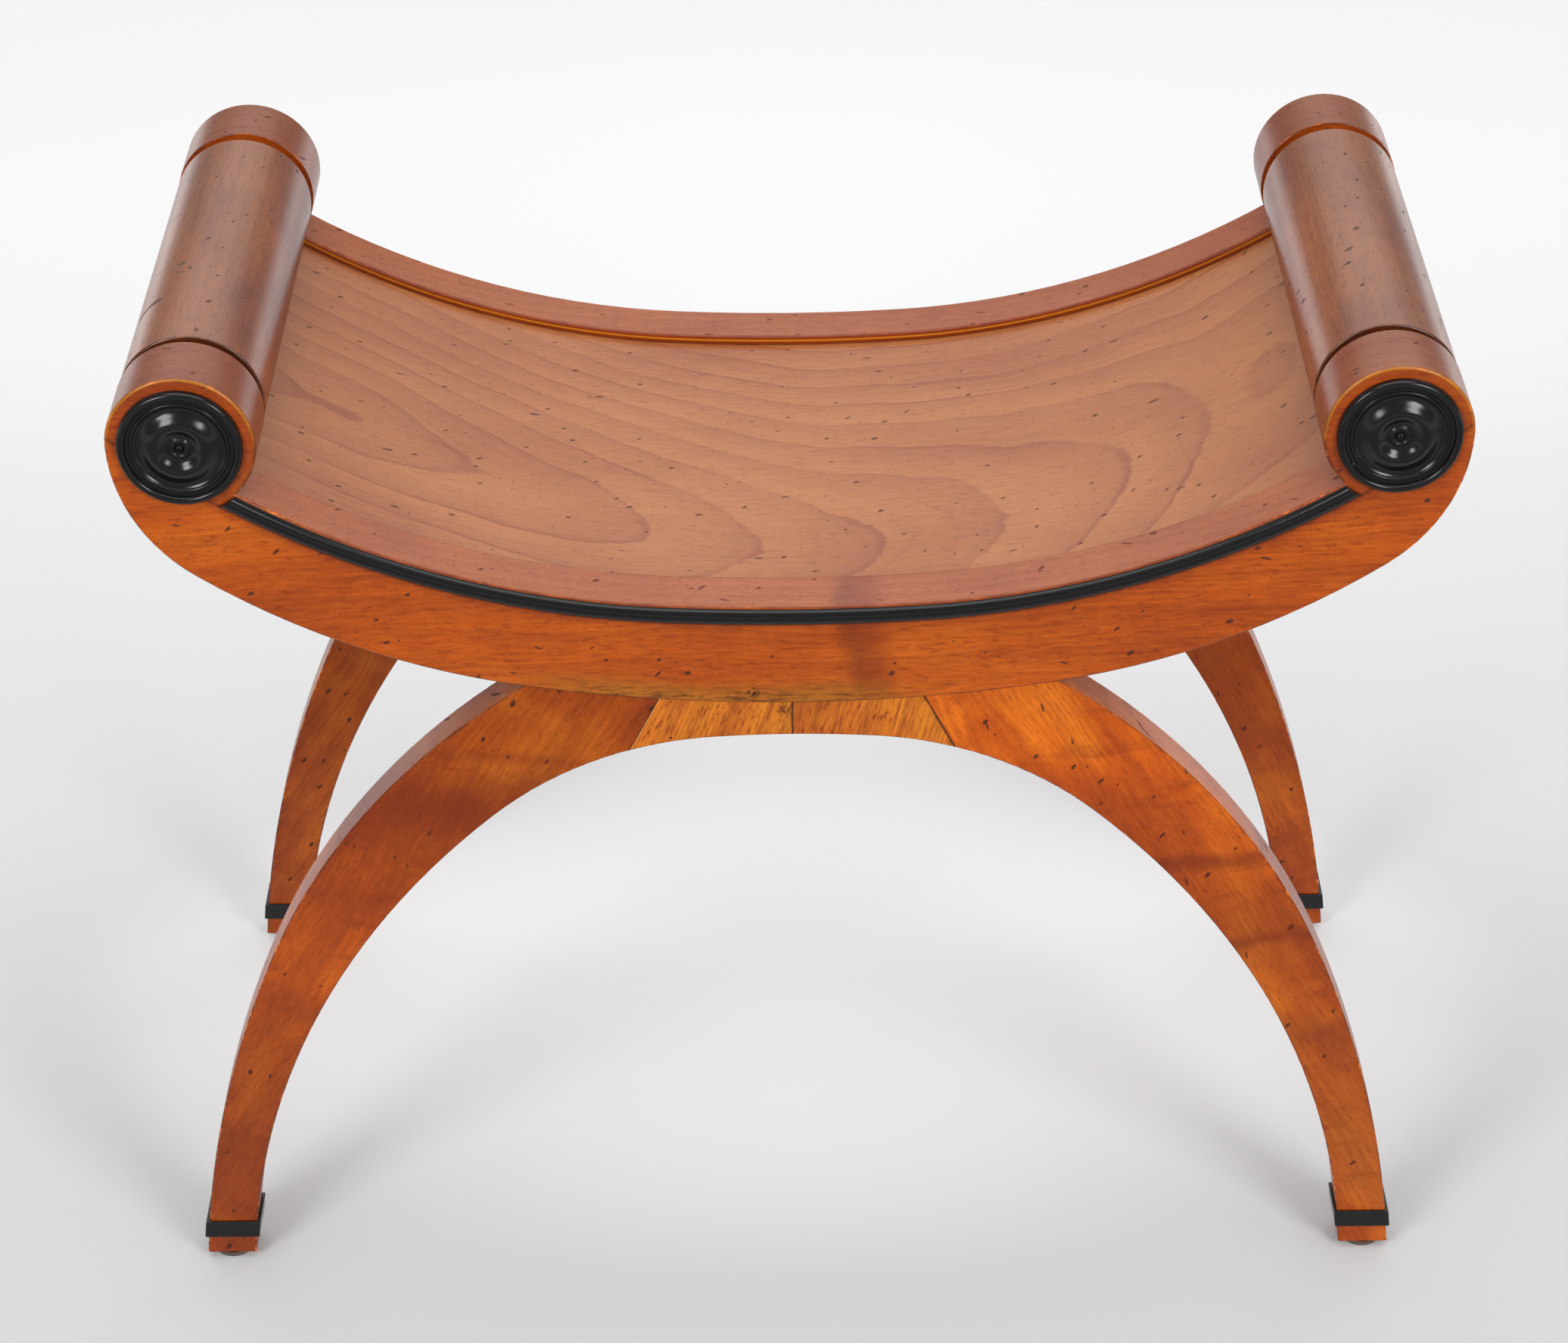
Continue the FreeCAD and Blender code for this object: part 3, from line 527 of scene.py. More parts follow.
def wood(name, turn, shift, tones, ring=110.0, contrast=0.2, blotch=0.4, figure=0.12,
         marks=((1, 0, 0), (0, 1, 1)), extra=None, mark_share=0.5, weave=0.5, sheen=0.36):
    """Varnished wood with its grain along the first of the turned coordinates.

    Ring is the number of growth rings in a metre. Contrast, blotch, figure, weave and sheen are the
    strengths of the rings, clouds, bands, fibres and reflections. Marks are the two directions that
    specks are spread over, and extra adds a piece's own features.
    """
    finish = Finish(name)
    plain = finish.place()
    x, y, z = finish.parts(plain)
    grain = finish.place(turn, shift)
    _, v, w = finish.parts(grain)
    light, middle, dark, upward_tone, grime_and_shade = tones

    drift = finish.noise(grain, (2.4, 9.0, 9.0), 2.0)
    sway = finish.noise(grain, (11.0, 42.0, 42.0), 2.0)
    course = v + w * 0.4 + (drift - 0.5) * 0.03 + (sway - 0.5) * 0.004
    phase = (course * ring).fraction()
    late = phase.step(0.2, 0.92) * phase.step(1.0, 0.96)
    ripple = (course * (ring * 5.0) + (sway - 0.5) * 2.0).fraction().hump(0.5, 0.5)
    fibre = finish.noise(grain, (26.0, 1050.0, 1050.0), 3.0, 0.6)
    pore = finish.noise(grain, (190.0, 2400.0, 2400.0), 2.0).step(0.58, 0.74)
    cloud = finish.noise(grain, (8.0, 20.0, 20.0), 3.0, 0.55)
    band = finish.noise(grain, (58.0, 9.0, 9.0), 2.0, 0.5, 0.4)

    normal = finish.parts(finish.field("ShaderNodeTexCoord", "Normal"))
    # Up-facing surfaces are turned towards a paler, less red tone.
    above = normal[2].step(0.25, 0.95)
    tint = finish.mix(above * 0.75, middle, upward_tone)
    tint = finish.mix(cloud.step(0.35, 0.75) * blotch, tint, dark)
    tint = finish.mix(cloud.step(0.52, 0.25) * blotch * (1 - above * 0.7), tint, light)
    tint = finish.mix(late * contrast * (drift + 0.25), tint, dark)
    tint = finish.mix(ripple * sway.step(0.3, 0.7) * 0.3, tint, dark)
    tint = finish.mix(band.step(0.54, 0.78) * figure, tint, dark)
    tint = finish.mix(band.step(0.46, 0.24) * figure, tint, light)
    mottle = finish.noise(grain, (120.0, 520.0, 520.0), 3.0, 0.65)
    tint = finish.shade(tint, fibre * (1.2 * weave) + (1 - 0.6 * weave))
    tint = finish.mix(mottle.step(0.5, 0.72) * 1.1 * weave, tint, dark)
    tint = finish.mix(mottle.step(0.46, 0.24) * (0.6 - above * 0.4) * weave, tint, light)
    tint = finish.mix(pore * 0.4, tint, grime_and_shade)

    a = x * marks[0][0] + y * marks[0][1] + z * marks[0][2]
    b = x * marks[1][0] + y * marks[1][1] + z * marks[1][2]
    nicks = finish.specks(a, b, WOOD_SPECKS, mark_share)
    tint = finish.mix(nicks * 0.85, tint, grime_and_shade)

    facing = normal[1] * normal[1]
    arris = (facing * (1 - facing)).step(0.02, 0.2)
    worn = finish.noise(plain, 70.0, 3.0).step(0.35, 0.65)
    tint = finish.mix(arris * (worn * 0.4 + 0.25), tint, grime_and_shade)
    # Rubbed arrises, lighter than any wood tone and strongest on the discs: partly wear, partly a
    # painted highlight.
    rubbed_and_highlight = finish.noise(plain, 240.0, 3.0, 0.7).step(0.46, 0.62) * (1 - worn)
    rubbed_and_highlight = rubbed_and_highlight * (abs(x).step(0.24, 0.27) * 0.8 + 0.12)
    tint = finish.mix(arris * rubbed_and_highlight, tint, tuple(value * 1.8 for value in light))

    gloss = 0.26 + (cloud - 0.5) * 0.12 + (fibre - 0.5) * 0.16 + nicks * 0.3
    height = fibre * 0.35 - pore * 0.3 - nicks * 2.5 + cloud * 0.5
    if extra:
        tint, gloss = extra(finish, (x, y, z), tint, gloss)
    return finish.close(
        {"IOR": 1.5, "Specular IOR Level": sheen},
        {"Base Color": tint, "Roughness": gloss},
        height, 0.22, 0.25 * MM,
    )


def curve_field(finish, line, x, z):
    """How far below one of the rail's two lines a point lies, as a field."""
    side = abs(x)
    inner, outer = (finish.distance(side, z, *circle[:2]) - circle[2] for circle in line[:2])
    return inner + (outer - inner) * side.step(line[2] - BLEND, line[2] + BLEND)


def rail_marks(settings, stained, finish, place, tint, gloss):
    """The rail's own marks and painted light: painted shade, with some dirt, below the bead; painted
    shade and highlights on the disc and the step; a stain, and a worn lower edge.
    """
    x, y, z = place
    spot = finish.vector(*place)
    below = curve_field(finish, SEAT_LINE, x, z)
    above = curve_field(finish, UNDERSIDE, x, z) * -1.0
    rough = finish.noise(spot, 130.0, 3.0)
    soft = finish.noise(spot, 24.0, 3.0)

    # Painted shade below the bead, with some dirt: a dark line along its lower edge and a darker
    # band beneath it.
    bead_shade_and_dirt = (below + (rough - 0.5) * 0.004).step(0.0165, 0.0105)
    tint = finish.mix(bead_shade_and_dirt * 0.38, tint, settings.cherry_dark)
    edge = (below + (rough - 0.5) * 0.0016).hump(0.0104, 0.0016)
    tint = finish.mix(edge * 0.55, tint, settings.grime_and_shade)

    # The disc's rim: painted shade on its top, and a painted highlight, partly a lighter worn
    # colour, along its upper arris.
    reach = finish.distance(abs(x), z, AXIS.x, AXIS.z)
    rim = abs(x).step(*DISC_START) * reach.step(DISC_RADIUS - 3 * MM, DISC_RADIUS)
    tint = finish.shade(tint, 1 - rim * below.step(0.0, -0.004) * 0.35)
    corner = reach.step(DISC_RADIUS - 2 * MM, DISC_RADIUS - 1 * MM)
    corner = corner * reach.step(DISC_RADIUS + 2 * MM, DISC_RADIUS + 1 * MM)
    corner = corner * abs(abs(y) - FACE).step(1.2 * MM, 0.4 * MM)
    corner = corner * z.step(AXIS.z - 0.01, AXIS.z + 0.015)
    tint = finish.mix(corner * 0.45, tint, settings.block_light)

    # The step beside the seat: painted shade on its riser, with a painted highlight along it.
    riser = abs(abs(y) - STEP_PLANE).step(1.6 * MM, 0.4 * MM)
    tint = finish.mix(riser * 0.55, tint, settings.cherry_dark)
    tint = finish.mix(riser * below.hump(STEP_HIGHLIGHT_DROP, 0.9 * MM) * 0.9, tint,
                      settings.block_light)

    if stained:
        # A stain below the middle, a worn lower edge, a scar and white chips.
        edge = x + (soft - 0.5) * 0.022 + (rough - 0.5) * 0.006 + (z - 0.4) * 0.1
        stain = abs(edge - STAIN).step(0.02, 0.002)
        stain = stain * above.step(-0.002, 0.014) * (soft * 0.7 + 0.35)
        tint = finish.mix(stain * 0.8, tint, settings.cherry_dark)
        tint = finish.shade(tint, 1 - stain * edge.step(0.042, 0.03) * 0.35)
        streak = finish.noise(finish.vector(x * 90.0, y * 600.0, z * 620.0), 1.0, 3.0, 0.7)
        worn = (above + (soft - 0.5) * 0.010).step(0.0155, 0.002)
        worn = worn * abs(x - WORN_MIDDLE).step(0.125, 0.05)
        tint = finish.mix(worn * 0.5, tint, settings.block_light)
        tint = finish.shade(tint, 1 - worn * 0.25)
        tint = finish.mix(worn * streak.step(0.42, 0.66) * 0.7, tint, settings.grime_and_shade)
        gloss = gloss + worn * 0.15
        scar = finish.distance(x, z, *SCAR).step(0.0042, 0.0018)
        scar = scar * finish.noise(spot, 700.0, 2.0).step(0.42, 0.52)
        tint = finish.mix(scar, tint, settings.grime_and_shade)
        white = finish.spots(x, z, 34.0, 0.8 * MM, 0.3) * below.hump(0.014, 0.005)
        tint = finish.mix(white * 0.9, tint, srgb(236, 226, 212))
    return tint, gloss


def quirk_marks(sizes, settings, finish, place, tint, gloss):
    """Painted shade in a roller's quirks, with a painted highlight along the bottom of each."""
    along = abs(place[1])
    start = INNER_PLANE - sizes.quirk_width
    tint = finish.mix(along.step(start - 1.2 * MM, start) * 0.75, tint, settings.grime_and_shade)
    quirk_highlight = along.hump(INNER_PLANE - sizes.quirk_width * 0.45, 0.9 * MM)
    tint = finish.mix(quirk_highlight * 0.9, tint, settings.block_light)
    return tint, gloss


def past_scarf(x, z):
    """How far a point of the front view lies beyond the joint of block and leg."""
    run = (SCARF_FOOT - SCARF_TOP).normalized()
    return (abs(x) - SCARF_TOP.x) * -run.y + (z - SCARF_TOP.y) * run.x


def joint_marks(settings, finish, place, tint, gloss):
    """Dirt in the joints of the blocks: a crack at the right, a pale line at the left."""
    x, _, z = place
    spot = finish.vector(*place)
    rough = finish.noise(spot, 260.0, 3.0) - 0.5
    scarf = past_scarf(x, z) + rough * 0.0012
    crack = scarf.step(-1.3 * MM, -0.3 * MM) * x.step(0.0, 0.01)
    pale = scarf.step(-0.7 * MM, -0.3 * MM) * x.step(0.0, -0.01)
    middle = abs(x + rough * 0.0008).step(0.8 * MM, 0.3 * MM)
    knot = finish.distance(x, z, *KNOT).step(0.0065, 0.001)
    knot = knot * finish.noise(spot, 420.0, 3.0, 0.7).step(0.4, 0.56)
    tint = finish.mix(crack * 0.9, tint, settings.grime_and_shade)
    tint = finish.mix(pale * 0.6, tint, srgb(214, 168, 110))
    tint = finish.mix(middle.most(knot) * 0.85, tint, settings.grime_and_shade)
    return tint, gloss


def leg_marks(settings, patches, bands, lights, finish, place, tint, gloss):
    """A leg's dark patches, bands across the grain, and zones that are lighter or darker by height.
    """
    x, y, z = place
    soft = finish.noise(finish.vector(*place), 26.0, 3.0, 0.6)
    seam = abs(past_scarf(x, z)).step(0.9 * MM, 0.2 * MM)
    tint = finish.mix(seam * 0.7, tint, settings.grime_and_shade)
    for low, high, strength in patches:
        patch = (z + (soft - 0.5) * 0.05).within(low, high, 0.8)
        tint = finish.mix(patch * strength, tint, settings.cherry_dark)
    for low, high, share in lights:
        zone = (z + (soft - 0.5) * 0.03).within(low, high, 0.8)
        tint = finish.shade(tint, zone * (share - 1) + 1)
    level = z - (abs(x) - 0.2) * 0.12 + (soft - 0.5) * 0.016
    streak = finish.noise(finish.vector(level * 150.0, x * 9.0, y * 9.0), 1.0, 2.0)
    for low, high, strength in bands:
        zone = level.within(low, high) * (streak * 0.6 + 0.4)
        tint = finish.mix(zone * strength, tint, settings.cherry_dark)
    ribbons = streak.step(0.56, 0.7) * soft.step(0.4, 0.6)
    tint = finish.mix(ribbons * 0.3, tint, settings.cherry_dark)
    return tint, gloss


def veneer(settings):
    """Flat-sawn veneer: growth lines that run lengthways and close in pointed arches."""
    finish = Finish("figured_veneer")
    plain = finish.place()
    x, y, z = finish.parts(plain)
    light, dark = settings.veneer_light, settings.veneer_dark
    wander = finish.noise(plain, (7.0, 1.5, 0.5), 2.0) - 0.5
    sway = finish.noise(plain, (3.0, 8.0, 1.0), 2.0) - 0.5
    ripple = finish.noise(plain, (38.0, 120.0, 1.0), 3.0, 0.6) - 0.5
    middle_line = -0.03 - x.step(-0.27, 0.03) * 0.075 + x.step(0.0, 0.5) * 0.16
    depth = (x + 0.3) * 0.27 + wander * 0.055 + 0.01
    across = y - middle_line + sway * 0.02
    rings = (across * across + depth * depth).math("SQRT") + ripple * 0.0036 + sway * 0.006
    phase = (rings * 47.0).fraction()
    thin = (rings * 141.0).fraction().hump(0.5, 0.25)
    late = phase.step(0.05, 0.95) * phase.step(1.0, 0.96)
    line = phase.step(0.86, 0.96) * phase.step(1.0, 0.975)
    fibre = finish.noise(plain, (24.0, 900.0, 40.0), 3.0, 0.6)
    mottle = finish.noise(plain, (130.0, 520.0, 40.0), 3.0, 0.65)
    pore = finish.noise(plain, (150.0, 2300.0, 40.0), 2.0).step(0.56, 0.74)
    cloud = finish.noise(plain, (6.0, 12.0, 3.0), 3.0, 0.55)
    strength = finish.noise(plain, (9.0, 16.0, 3.0), 2.0).step(0.25, 0.7)
    faint = finish.noise(plain, (5.0, 15.0, 3.0), 2.0).step(0.4, 0.7)
    tint = finish.mix(cloud.step(0.3, 0.8) * 0.4, light, dark)
    tint = finish.mix(late * 0.25 + line * strength * 0.5 + thin * faint * 0.16, tint, dark)
    tint = finish.shade(tint, fibre * 0.5 + 0.75)
    tint = finish.mix(mottle.step(0.5, 0.76) * 0.45, tint, dark)
    tint = finish.mix(pore * 0.3, tint, settings.grime_and_shade)
    nicks = finish.specks(x, y, VENEER_SPECKS)
    tint = finish.mix(nicks * 0.8, tint, settings.grime_and_shade)
    # Painted shade on the veneer along the foot of the step.
    tint = finish.mix(abs(y).step(STEP_PLANE - 2.2 * MM, STEP_PLANE - 0.4 * MM) * 0.8, tint,
                      settings.grime_and_shade)
    gloss = 0.3 + (cloud - 0.5) * 0.12 + (fibre - 0.5) * 0.14 + nicks * 0.2
    height = fibre * 0.35 - pore * 0.3 - nicks * 2.0
    return finish.close(
        {"IOR": 1.5, "Specular IOR Level": 0.4},
        {"Base Color": tint, "Roughness": gloss},
        height, 0.2, 0.25 * MM,
    )


def lacquer(settings):
    """Ebonised wood: brushed black lacquer with small knocks down to the wood."""
    finish = Finish("ebonised_wood")
    plain = finish.place()
    brush = finish.noise(plain, 260.0, 3.0, 0.6)
    wave = finish.noise(plain, 60.0, 2.0)
    dust = finish.noise(plain, 1400.0, 2.0).step(0.7, 0.8)
    chips = finish.noise(plain, 330.0, 3.0, 0.7).step(0.735, 0.76)
    tint = finish.mix(wave * 0.4, settings.ebony, srgb(24, 22, 22))
    tint = finish.mix(dust * 0.35, tint, srgb(120, 112, 104))
    tint = finish.mix(chips * 0.8, tint, settings.cherry_light)
    gloss = 0.15 + (brush - 0.5) * 0.14 + wave * 0.06 + chips * 0.4
    height = brush * 0.3 + wave * 0.8 - chips * 1.2
    return finish.close(
        {"IOR": 1.5, "Specular IOR Level": 0.32},
        {"Base Color": tint, "Roughness": gloss},
        height, 0.25, 0.3 * MM,
    )


def metal(name, tint, rough, rust):
    """Dull metal, with patches of rust where its share isn't 0."""
    finish = Finish(name)
    plain = finish.place()
    speckle = finish.noise(plain, 500.0, 4.0, 0.6)
    patch = finish.noise(plain, 160.0, 3.0).step(0.45, 0.7)
    shade = finish.mix(patch * rust, tint, srgb(92, 58, 40))
    shade = finish.shade(shade, speckle * 0.5 + 0.75)
    gloss = rough + patch * 0.2 + (speckle - 0.5) * 0.2
    return finish.close(
        {"IOR": 1.5}, {"Base Color": shade, "Roughness": gloss, "Metallic": 0.9 - patch * rust},
        speckle, 0.2, 0.2 * MM,
    )


def floor_paper(settings):
    """A pale floor with painted light: lighter behind the stool than in front of it, and, to the eye
    and in gloss, glowing behind the stool, far behind it and under it.
    """
    finish = Finish("floor_paper")
    plain = finish.place()
    x, y, _ = finish.parts(plain)
    back = y.step(-0.9, 1.5)
    tint = finish.mix(back, settings.floor_front, settings.floor_back)
    fibre = finish.noise(plain, 900.0, 2.0)
    tint = finish.shade(tint, fibre * 0.02 + 0.99)
    # Painted shade: the floor darkens towards the camera.
    tint = finish.shade(tint, y.step(-0.9, -0.3) * 0.5 + 0.5)
    # Painted light under the stool, where the glow lightens the stool's shadow.
    under = ((x / 0.5) ** 2 + ((y - 0.08) / 0.3) ** 2).step(1.0, 0.0)
    far = (x * x + y * y).math("SQRT").step(1.8, 3.2)
    seen = finish.field("ShaderNodeLightPath", "Is Camera Ray")
    seen = seen.most(finish.field("ShaderNodeLightPath", "Is Glossy Ray"))
    glow = seen * (back * settings.glow + under * settings.under_glow + far * settings.far_glow)
    white = finish.shade((1.0, 1.0, 1.0), glow)
    return finish.close(
        {"Specular IOR Level": 0.1, "Emission Strength": 1.0},
        {"Base Color": tint, "Roughness": 0.8, "Emission Color": white},
    )


# The pieces.


def buried_in_rail(place):
    """Whether a point lies in a rail's wood and not on its surface."""
    y = abs(place.y)
    if min(abs(y - plane) for plane in (FACE, STEP_PLANE, INNER_PLANE)) < 0.05 * MM:
        return False
    if math.hypot(abs(place.x) - AXIS.x, place.z - AXIS.z) < DISC_RADIUS - 1 * MM:
        return True
    below = beyond(SEAT_LINE, place.x, place.z)
    above = -beyond(UNDERSIDE, place.x, place.z)
    return below > 1 * MM and above > 1 * MM


def dress_rail(sizes, end, material):
    """A rail: a copy of its solid with rounded arrises and a softer edge beside the seat."""
    rail = copy_of(f"{end}_rail")
    close_holes(rail, buried_in_rail)
    mesh = edit(rail, "EDGE")
    weights = mesh.edges.layers.float.new("bevel_weight_edge")
    outside = FACE - 0.2 * MM
    for edge in mesh.edges:
        flats = [face for face in edge.link_faces if abs(face.normal.y) > 0.99]
        walls = [face for face in edge.link_faces if abs(face.normal.y) < 0.1]
        if len(flats) != 1 or len(walls) != 1:
            continue
        if max(abs(vertex.co.y) for vertex in walls[0].verts) < outside:
            continue
        y = abs(edge.verts[0].co.y)
        if y > outside:
            edge[weights] = sizes.face_arris / sizes.step_arris
        elif abs(y - STEP_PLANE) < 0.5 * MM:
            edge[weights] = 1
        else:
            edge[weights] = sizes.inner_arris / sizes.step_arris
    done()
    apply_modifier(rail, "BEVEL", limit_method="WEIGHT", width=sizes.step_arris, segments=4,
                   use_clamp_overlap=False)
    present(rail, material, "cherry", f"{end}_rail")


def turn_roller(settings, material):
    """A roller: a cylinder whose ends step in to the quirk and out again as the spigot."""
    body_end = INNER_PLANE - settings.quirk_width
    neck = ROLLER_RADIUS - settings.quirk_depth
    spigot = 28 * MM
    steps = ((settings.quirk_depth - settings.roller_arris, settings.quirk_width),
             (neck - settings.spigot_radius, spigot))
    bpy.ops.mesh.primitive_cylinder_add(
        vertices=FINE_ROUND, radius=ROLLER_RADIUS, depth=2 * body_end,
        location=(-AXIS.x, 0, AXIS.z), rotation=(math.pi / 2, 0, 0),
    )
    roller = added("left_roller_turned")
    select(roller, lambda edge: all(abs(abs(v.co.y) - body_end) < 1e-5 for v in edge.verts), "EDGE")
    bpy.ops.mesh.bevel(offset=settings.roller_arris, segments=4, profile=0.5)
    for sign in (-1, 1):
        select(roller, lambda face: face.normal.y * sign > 0.99)
        for inset, run in steps:
            bpy.ops.mesh.inset(thickness=inset)
            bpy.ops.mesh.extrude_region_move(TRANSFORM_OT_translate={"value": (0, sign * run, 0)})
    done()
    twin = copied(roller, "right_roller_turned", Matrix.Translation((2 * AXIS.x, 0, 0)))
    for side, piece in (("left", roller), ("right", twin)):
        present(piece, material, "cherry", f"{side}_roller")


def rosette_profile(settings):
    """The rosette's section from the rim's shoulder inwards, as radius and height."""
    outer = settings.rosette_radius

    def swell(start, end, base, rise, count):
        for step in range(1, count + 1):
            turn = math.pi * step / count
            middle, half = (start + end) / 2, (start - end) / 2
            yield middle + half * math.cos(turn), base + rise * math.sin(turn)

    shoulder, valley, slope_steps = 2.0 * MM, 1.8 * MM, 14
    rim, reed, reed_end = outer - 4.4 * MM, outer - 6.5 * MM, outer - 8.3 * MM
    foot, crest, well = outer - 9.7 * MM, 13.2 * MM, 6.4 * MM
    points = [(outer, shoulder)]
    points += swell(outer, rim, shoulder, 2.2 * MM, 10)
    points += [(rim - 0.05 * MM, valley), (reed, valley)]
    points += swell(reed, reed_end, valley, 0.9 * MM, 6)
    dome = (foot, crest, 0.9 * MM, 4.1 * MM)
    dish = (crest, well, 5.0 * MM, -3.0 * MM)
    for start, end, low, rise in (dome, dish):
        for step in range(slope_steps + 1):
            share = step / slope_steps
            points.append((start + (end - start) * share,
                           low + rise * (0.5 - 0.5 * math.cos(share * math.pi))))
    points += [(radius * MM, height * MM) for radius, height in BOSS]
    return points


def turn_rosettes(settings, material):
    """Four rosettes: a disc whose face is inset again and again along the turned section."""
    profile = rosette_profile(settings)
    shoulder = profile[0][1]
    bpy.ops.mesh.primitive_cylinder_add(
        vertices=FINE_ROUND, radius=settings.rosette_radius, depth=shoulder,
        location=(-AXIS.x, -FACE - shoulder / 2, AXIS.z), rotation=(math.pi / 2, 0, 0),
    )
    first = added("front_left_rosette_turned")
    select(first, lambda face: face.normal.y < -0.99)
    for (radius, height), (next_radius, next_height) in zip(profile, profile[1:]):
        bpy.ops.mesh.inset(
            thickness=max(radius - next_radius, 0.01 * MM), depth=next_height - height,
            use_even_offset=False,
        )
    done()
    for corner, piece in in_each_corner(first, "rosette_turned", AXIS.x):
        present(piece, material, "ebonised_wood", f"{corner}_rosette", smooth=60)


def make_pins(settings, material):
    """The four button heads, each a ball cut off at its seat in the rosette's eye."""
    seat = FACE + 2.2 * MM
    ball = (settings.pin_radius**2 + settings.pin_height**2) / (2 * settings.pin_height)
    bpy.ops.mesh.primitive_uv_sphere_add(
        segments=48, ring_count=32, radius=ball, rotation=(math.pi / 2, 0, 0),
        location=(-AXIS.x, -(seat + settings.pin_height - ball), AXIS.z),
    )
    head = added("pin_head")
    edit(head)
    everything()
    bpy.ops.mesh.bisect(plane_co=(0, -seat, 0), plane_no=(0, 1, 0), clear_outer=True, use_fill=True)
    done()
    choose(head)
    for _, other in in_each_corner(head, "pin_head", AXIS.x):
        other.select_set(True)
    bpy.ops.object.join()
    head.name = head.data.name = "rosette_pin_heads"
    present(head, material, "black_steel", "rosette_pins", smooth=60)


def bend_bead(settings, material):
    """The black moulding: a half-round section spun along the seat's three arcs."""
    half = settings.bead_height / 2
    drop = settings.bead_drop + half
    sweep_radius = SWEEP[2] + drop
    lean = math.asin(DIP_REACH / DIP[2])
    reach = math.hypot(AXIS.x - SWEEP[0], AXIS.z - SWEEP[1])
    cosine = (sweep_radius**2 + reach**2 - DISC_RADIUS**2) / (2 * sweep_radius * reach)
    to_disc = math.atan2(AXIS.x - SWEEP[0], SWEEP[1] - AXIS.z)
    end_lean = to_disc - math.acos(cosine) if cosine < 1 else to_disc
    overrun, sweep_steps, dip_steps = 0.012, 56, 24
    start = end_lean + overrun
    begin = Vector((-SWEEP[0] - sweep_radius * math.sin(start), -FACE,
                    SWEEP[1] - sweep_radius * math.cos(start)))
    bpy.ops.mesh.primitive_circle_add(
        vertices=32, radius=half, fill_type="NOTHING", location=begin,
        rotation=(0, math.pi / 2 + start, 0),
    )
    bead = added("front_bead_moulded")
    edit(bead, "VERT")
    everything()
    bpy.ops.transform.resize(value=(1, settings.bead_proud / half, 1),
                             center_override=tuple(begin))
    everything()
    bpy.ops.mesh.bisect(plane_co=(0, -FACE, 0), plane_no=(0, 1, 0), clear_outer=True)
    everything()
    bpy.ops.mesh.edge_face_add()
    bpy.ops.mesh.delete(type="ONLY_FACE")
    everything()
    turns = (
        ((-SWEEP[0], 0, SWEEP[1]), start - lean, sweep_steps),
        ((DIP[0], 0, DIP[1]), 2 * lean, dip_steps),
        ((SWEEP[0], 0, SWEEP[1]), start - lean, sweep_steps),
    )
    for centre, angle, steps in turns:
        bpy.ops.mesh.spin(steps=steps, angle=angle, center=centre, axis=(0, 1, 0))
    everything()
    bpy.ops.mesh.remove_doubles(threshold=0.01 * MM)
    for side in (-1, 1):
        touch = Vector((side * (SWEEP[0] + sweep_radius * math.sin(end_lean)), 0,
                        SWEEP[1] - sweep_radius * math.cos(end_lean)))
        outwards = Vector((side * AXIS.x, 0, AXIS.z)) - touch
        everything()
        bpy.ops.mesh.bisect(plane_co=touch, plane_no=outwards.normalized(), clear_outer=True,
                            use_fill=True)
    everything()
    bpy.ops.mesh.normals_make_consistent(inside=False)
    done()
    rear = copied(bead, "rear_bead_moulded", Matrix.Rotation(math.pi, 4, "Z"))
    for end, piece in (("front", bead), ("rear", rear)):
        present(piece, material, "ebonised_wood", f"{end}_bead", smooth=50)


def make_glides(settings, material):
    """Four round glides, each with its sole rounded and its nail above."""
    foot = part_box("front_left_glide")
    middle = (foot[0] + foot[1]) / 2
    nail_radius = 1.4 * MM
    bpy.ops.mesh.primitive_cylinder_add(
        vertices=64, radius=settings.glide_radius, depth=settings.glide_thickness,
        location=(middle.x, middle.y, settings.glide_thickness / 2),
    )
    glide = added("front_left_glide_turned")
    select(glide, lambda edge: all(v.co.z < 1e-5 for v in edge.verts), "EDGE")
    bpy.ops.mesh.bevel(offset=settings.glide_rounding, segments=3, profile=0.5)
    select(glide, lambda face: face.normal.z > 0.99)
    bpy.ops.mesh.inset(thickness=settings.glide_radius - nail_radius)
    bpy.ops.mesh.extrude_region_move(
        TRANSFORM_OT_translate={"value": (0, 0, foot[1].z - settings.glide_thickness)}
    )
    done()
    for corner, piece in in_each_corner(glide, "glide_turned", -middle.x):
        present(piece, material, "glide_steel", f"{corner}_glide")


# The operators, one for each piece or group of like pieces.


class MakeRails(bpy.types.Operator):
    """Dress the two crescent rails"""

    bl_idname = "stool.rails"
    bl_label = "Rails"

    def execute(self, context):
        sizes, finish = context.scene.stool_sizes, context.scene.stool_finish
        for end, sign in ENDS:
            material = wood(
                f"{end}_rail_cherry", (0, 2, 0), (0.3, 2.0 * sign, 0.2), toned(finish, 1.08),
                contrast=0.24, blotch=0.35, figure=0.08, extra=partial(rail_marks, finish, sign < 0),
            )
            dress_rail(sizes, end, material)
        return {"FINISHED"}


class MakeRollers(bpy.types.Operator):
    """Turn the two rollers"""

    bl_idname = "stool.rollers"
    bl_label = "Rollers"

    def execute(self, context):
        finish = context.scene.stool_finish
        material = wood(
            "roller_cherry", (0, 0, -90), (0, 0, 1.7), toned(finish, 0.56), contrast=0.2,
            blotch=0.8, figure=0.1, marks=((0, 1, 0), (1, 0, -1)), sheen=0.6,
            extra=partial(quirk_marks, context.scene.stool_sizes, finish),
        )
        turn_roller(context.scene.stool_sizes, material)
        return {"FINISHED"}


